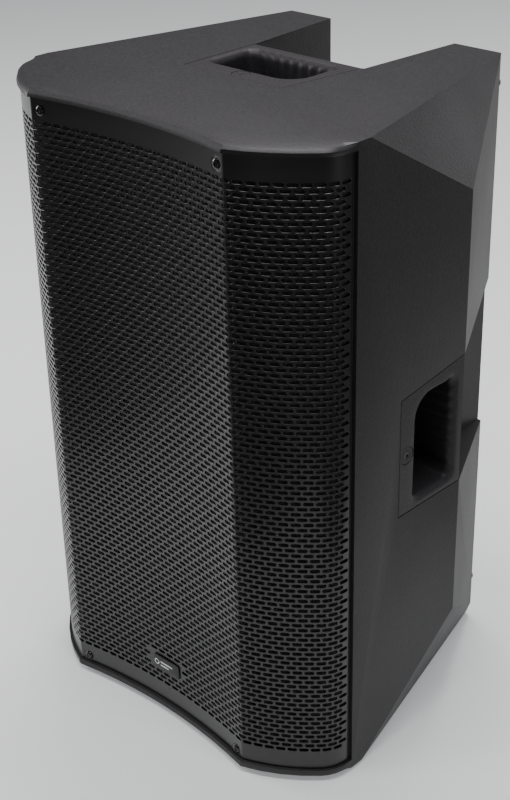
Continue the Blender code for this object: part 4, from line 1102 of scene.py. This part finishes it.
# ---- rear panel ----
@dataclass
class RearPanel:
    """The amplifier's panel: plate, screws, dials, sockets, switch and heatsink."""

    screw_x: float = 0.0640
    screw_z: tuple[float, ...] = (0.110, 0.205, 0.305, 0.405, 0.500)
    dial_radius: float = 10.6 * MM
    ticks: int = 11
    ink: float = 0.08 * MM
    knob_sides: tuple[str, ...] = ("left", "right", "main")

    def __post_init__(self) -> None:
        """Take the panel's face from the frame."""
        self.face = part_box("amp_plate")[1].y

    def centre(self, node: str) -> Pair:
        """The x and z of the middle of a node."""
        low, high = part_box(node)
        return (low.x + high.x) / 2, (low.z + high.z) / 2

    def plate_and_blocks(self) -> None:
        """CAD parts whose form is right, with their edges rounded."""
        softened("amp_plate", PAINT, width=0.5 * MM)
        softened("heatsink", ANODISED, width=0.35 * MM)
        for node in ("combo_jack_left", "combo_jack_right", "link_jack", "mains_inlet", "switch_bezel"):
            softened(node, GLOSS, width=0.45 * MM)
        moving = {"jack_latch_left": "latch_left", "jack_latch_right": "latch_right",
                  "fuse_drawer": "fuse_tray", "power_rocker": "rocker", "mode_button": "button"}
        for node, body in moving.items():
            softened(node, GLOSS, body, width=0.4 * MM, segments=3)

    def screws(self) -> None:
        """Pan-head screws down both sides of the plate, as one piece."""
        head = scaled([(0.0, 0.6), (1.0, 0.6), (1.15, 1.5), (1.9, 1.35), (2.6, 0.8), (2.75, 0.0), (0.0, 0.0)])
        parts = [turned(rear_seat(x, self.face, z), head, 24)
                 for x in (-self.screw_x, self.screw_x) for z in self.screw_z]
        mount("panel_screws", joined(*parts), SCREW)

    def stroke(self, seat: Seat, half_u: float, half_v: float, power: float = 8.0) -> Surface:
        """A printed line: a thin slab that stands on the panel by the thickness of the ink."""
        return slab(seat, half_u, half_v, -0.02 * MM, self.ink, power, 0.03 * MM, 12)

    def dials(self) -> None:
        """Scale marks round each knob, a frame line round the sockets, and lines between the blocks."""
        parts = []
        for side in self.knob_sides:
            x, z = self.centre("knob_%s_level" % side)
            for turn in np.linspace(-150.0, 150.0, self.ticks):
                out_x, out_z = math.sin(math.radians(turn)), math.cos(math.radians(turn))
                half = (1.25 if abs(turn) in (0.0, 150.0) else 0.8) * MM
                place = (x - out_x * self.dial_radius, self.face, z + out_z * self.dial_radius)
                seat = Seat(place, (-out_z, 0.0, -out_x), (-out_x, 0.0, out_z), (0, 1, 0))
                parts.append(self.stroke(seat, 0.22 * MM, half))
        for z in (0.2725, 0.2200, 0.3440):
            parts.append(self.stroke(rear_seat(0.0, self.face, z), 0.056, 0.2 * MM, 20.0))
        for x in (-0.036, 0.036):
            parts.append(self.stroke(rear_seat(x, self.face, 0.2670), 6.0 * MM, 0.5 * MM, 6.0))
        mount("panel_print", joined(*parts), INK)

    def knobs(self) -> None:
        """Fluted rubber knobs, bored for their shafts, with a pale pointer line."""
        profile = scaled([(0.0, 9.9), (3.5, 9.9), (3.5, 0.8), (7.2, 0.8), (7.8, 1.4), (7.7, 3.0), (7.3, 10.5),
                          (7.0, 11.8), (6.3, 12.8), (5.0, 12.9), (4.6, 12.5), (0.0, 12.4)])
        for side in self.knob_sides:
            node, body = "knob_%s_level" % side, "%s_level_knob" % side
            x, z = self.centre(node)
            seat = rear_seat(x, self.face, z)
            mount(node + "_grip", turned(seat, profile, 144, 18, 0.55 * MM), RUBBER, body, (node,), 45.0)
            line = rear_seat(x, self.face + 12.3 * MM, z + 4.6 * MM)
            mark = slab(line, 0.45 * MM, 2.1 * MM, -0.3 * MM, 0.75 * MM, 6.0, 0.1 * MM, 24)
            mount(node + "_pointer", mark, INK, body, (node,), slot="soft_rubber")

    def sockets(self) -> None:
        """Contact rings and flange screws of the sockets."""
        parts, screws = [], []
        hub = scaled([(0.0, -14.0), (2.9, -14.0), (3.3, -6.5), (4.9, -6.2), (5.1, -7.0), (5.1, -15.0),
                      (0.0, -15.0)])
        head = scaled([(0.0, 0.3), (0.7, 0.3), (0.8, 0.7), (1.4, 0.5), (1.5, -0.1), (0.0, -0.1)])
        corner = 2.4 * MM
        for node in ("combo_jack_left", "combo_jack_right", "link_jack"):
            low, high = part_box(node)
            if node != "link_jack":
                x, z = self.centre(node)
                parts.append(turned(rear_seat(x, high.y, z), hub, 32))
            for x, z in ((low.x + corner, high.z - corner), (high.x - corner, low.z + corner)):
                screws.append(turned(rear_seat(x, high.y, z), head, 20))
        mount("combo_contacts", joined(*parts), GLOSS)
        mount("socket_screws", joined(*screws), SCREW)

    def build(self) -> None:
        """Everything on the panel's outside."""
        self.plate_and_blocks()
        self.screws()
        self.dials()
        self.knobs()
        self.sockets()


# ---- feet, bumpers and the parts inside ----
@dataclass
class SmallParts:
    """Rubber feet, rear bumpers and the pole socket."""

    def build(self) -> None:
        """Turn each foot and bumper from a profile that fills its CAD box."""
        for node in sorted(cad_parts):
            if not node.startswith(("rubber_foot", "rear_bumper")):
                continue
            low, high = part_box(node)
            middle = (low + high) / 2
            foot = node.startswith("rubber_foot")
            radius = (high.x - low.x) / 2
            tall = high.z - low.z if foot else high.y - low.y
            if foot:
                seat = Seat((middle.x, middle.y, high.z), (1, 0, 0), (0, -1, 0), (0, 0, -1))
                shape = [(0.0, 0.0), (0.97, 0.0), (1.0, 0.12), (1.0, 0.62), (0.97, 0.84), (0.9, 0.97),
                         (0.84, 1.0), (0.30, 1.0), (0.26, 0.72), (0.0, 0.72)]
            else:
                seat = rear_seat(middle.x, low.y, middle.z)
                arc = np.linspace(0.0, math.pi / 2.0, 9)
                shape = [(0.0, 0.0), (1.0, 0.0), *((math.cos(t), 0.3 + 0.7 * math.sin(t)) for t in arc)]
            shape = turned(seat, scaled(shape, radius, tall), 48)
            mount(node + "_moulding", shape, RUBBER, stands_for=(node,), crease=40.0)
        softened("pole_socket", HANDLE, width=0.8 * MM, segments=3)


class Inside:
    """Drivers, baffle, boards, wadding and leads: CAD nodes that keep their form."""

    def build(self) -> None:
        """Give every CAD node the detailed finish of its own material slot."""
        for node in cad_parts.values():
            for slot in node.material_slots:
                known = (finish for name, finish in SLOT_FINISHES.items()
                         if slot.material and slot.material.name.startswith(name))
                finish = next(known, None)
                if finish is None:
                    LOG.warning("no finish for %s on %s", slot.material, node.name)
                else:
                    slot.material = finish.material()


def hand_grips() -> list[HandGrip]:
    """The three hand grips, seated on their CAD boxes."""
    top_low, top_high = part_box("top_handle")
    left_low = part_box("side_handle_left")[0]
    right_low, right_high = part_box("side_handle_right")
    return [
        HandGrip("top_handle", Seat((top_low.x, top_low.y, top_high.z), (1, 0, 0), (0, 1, 0), (0, 0, 1))),
        HandGrip("side_handle_left", Seat(tuple(left_low), (0, 0, 1), (0, 1, 0), (-1, 0, 0))),
        HandGrip("side_handle_right", Seat((right_high.x, right_low.y, right_low.z),
                                           (0, 0, 1), (0, 1, 0), (1, 0, 0)))]


def main() -> None:
    """Build every sub-assembly in order."""
    logging.basicConfig(level=logging.INFO, format="%(name)s: %(message)s")
    for assembly in (Studio(), Cabinet(), FrontGrille(), *hand_grips(), RearPanel(), SmallParts(), Inside()):
        assembly.build()
        LOG.info("built %s", getattr(assembly, "name", type(assembly).__name__))


if __name__ == "__main__":
    main()
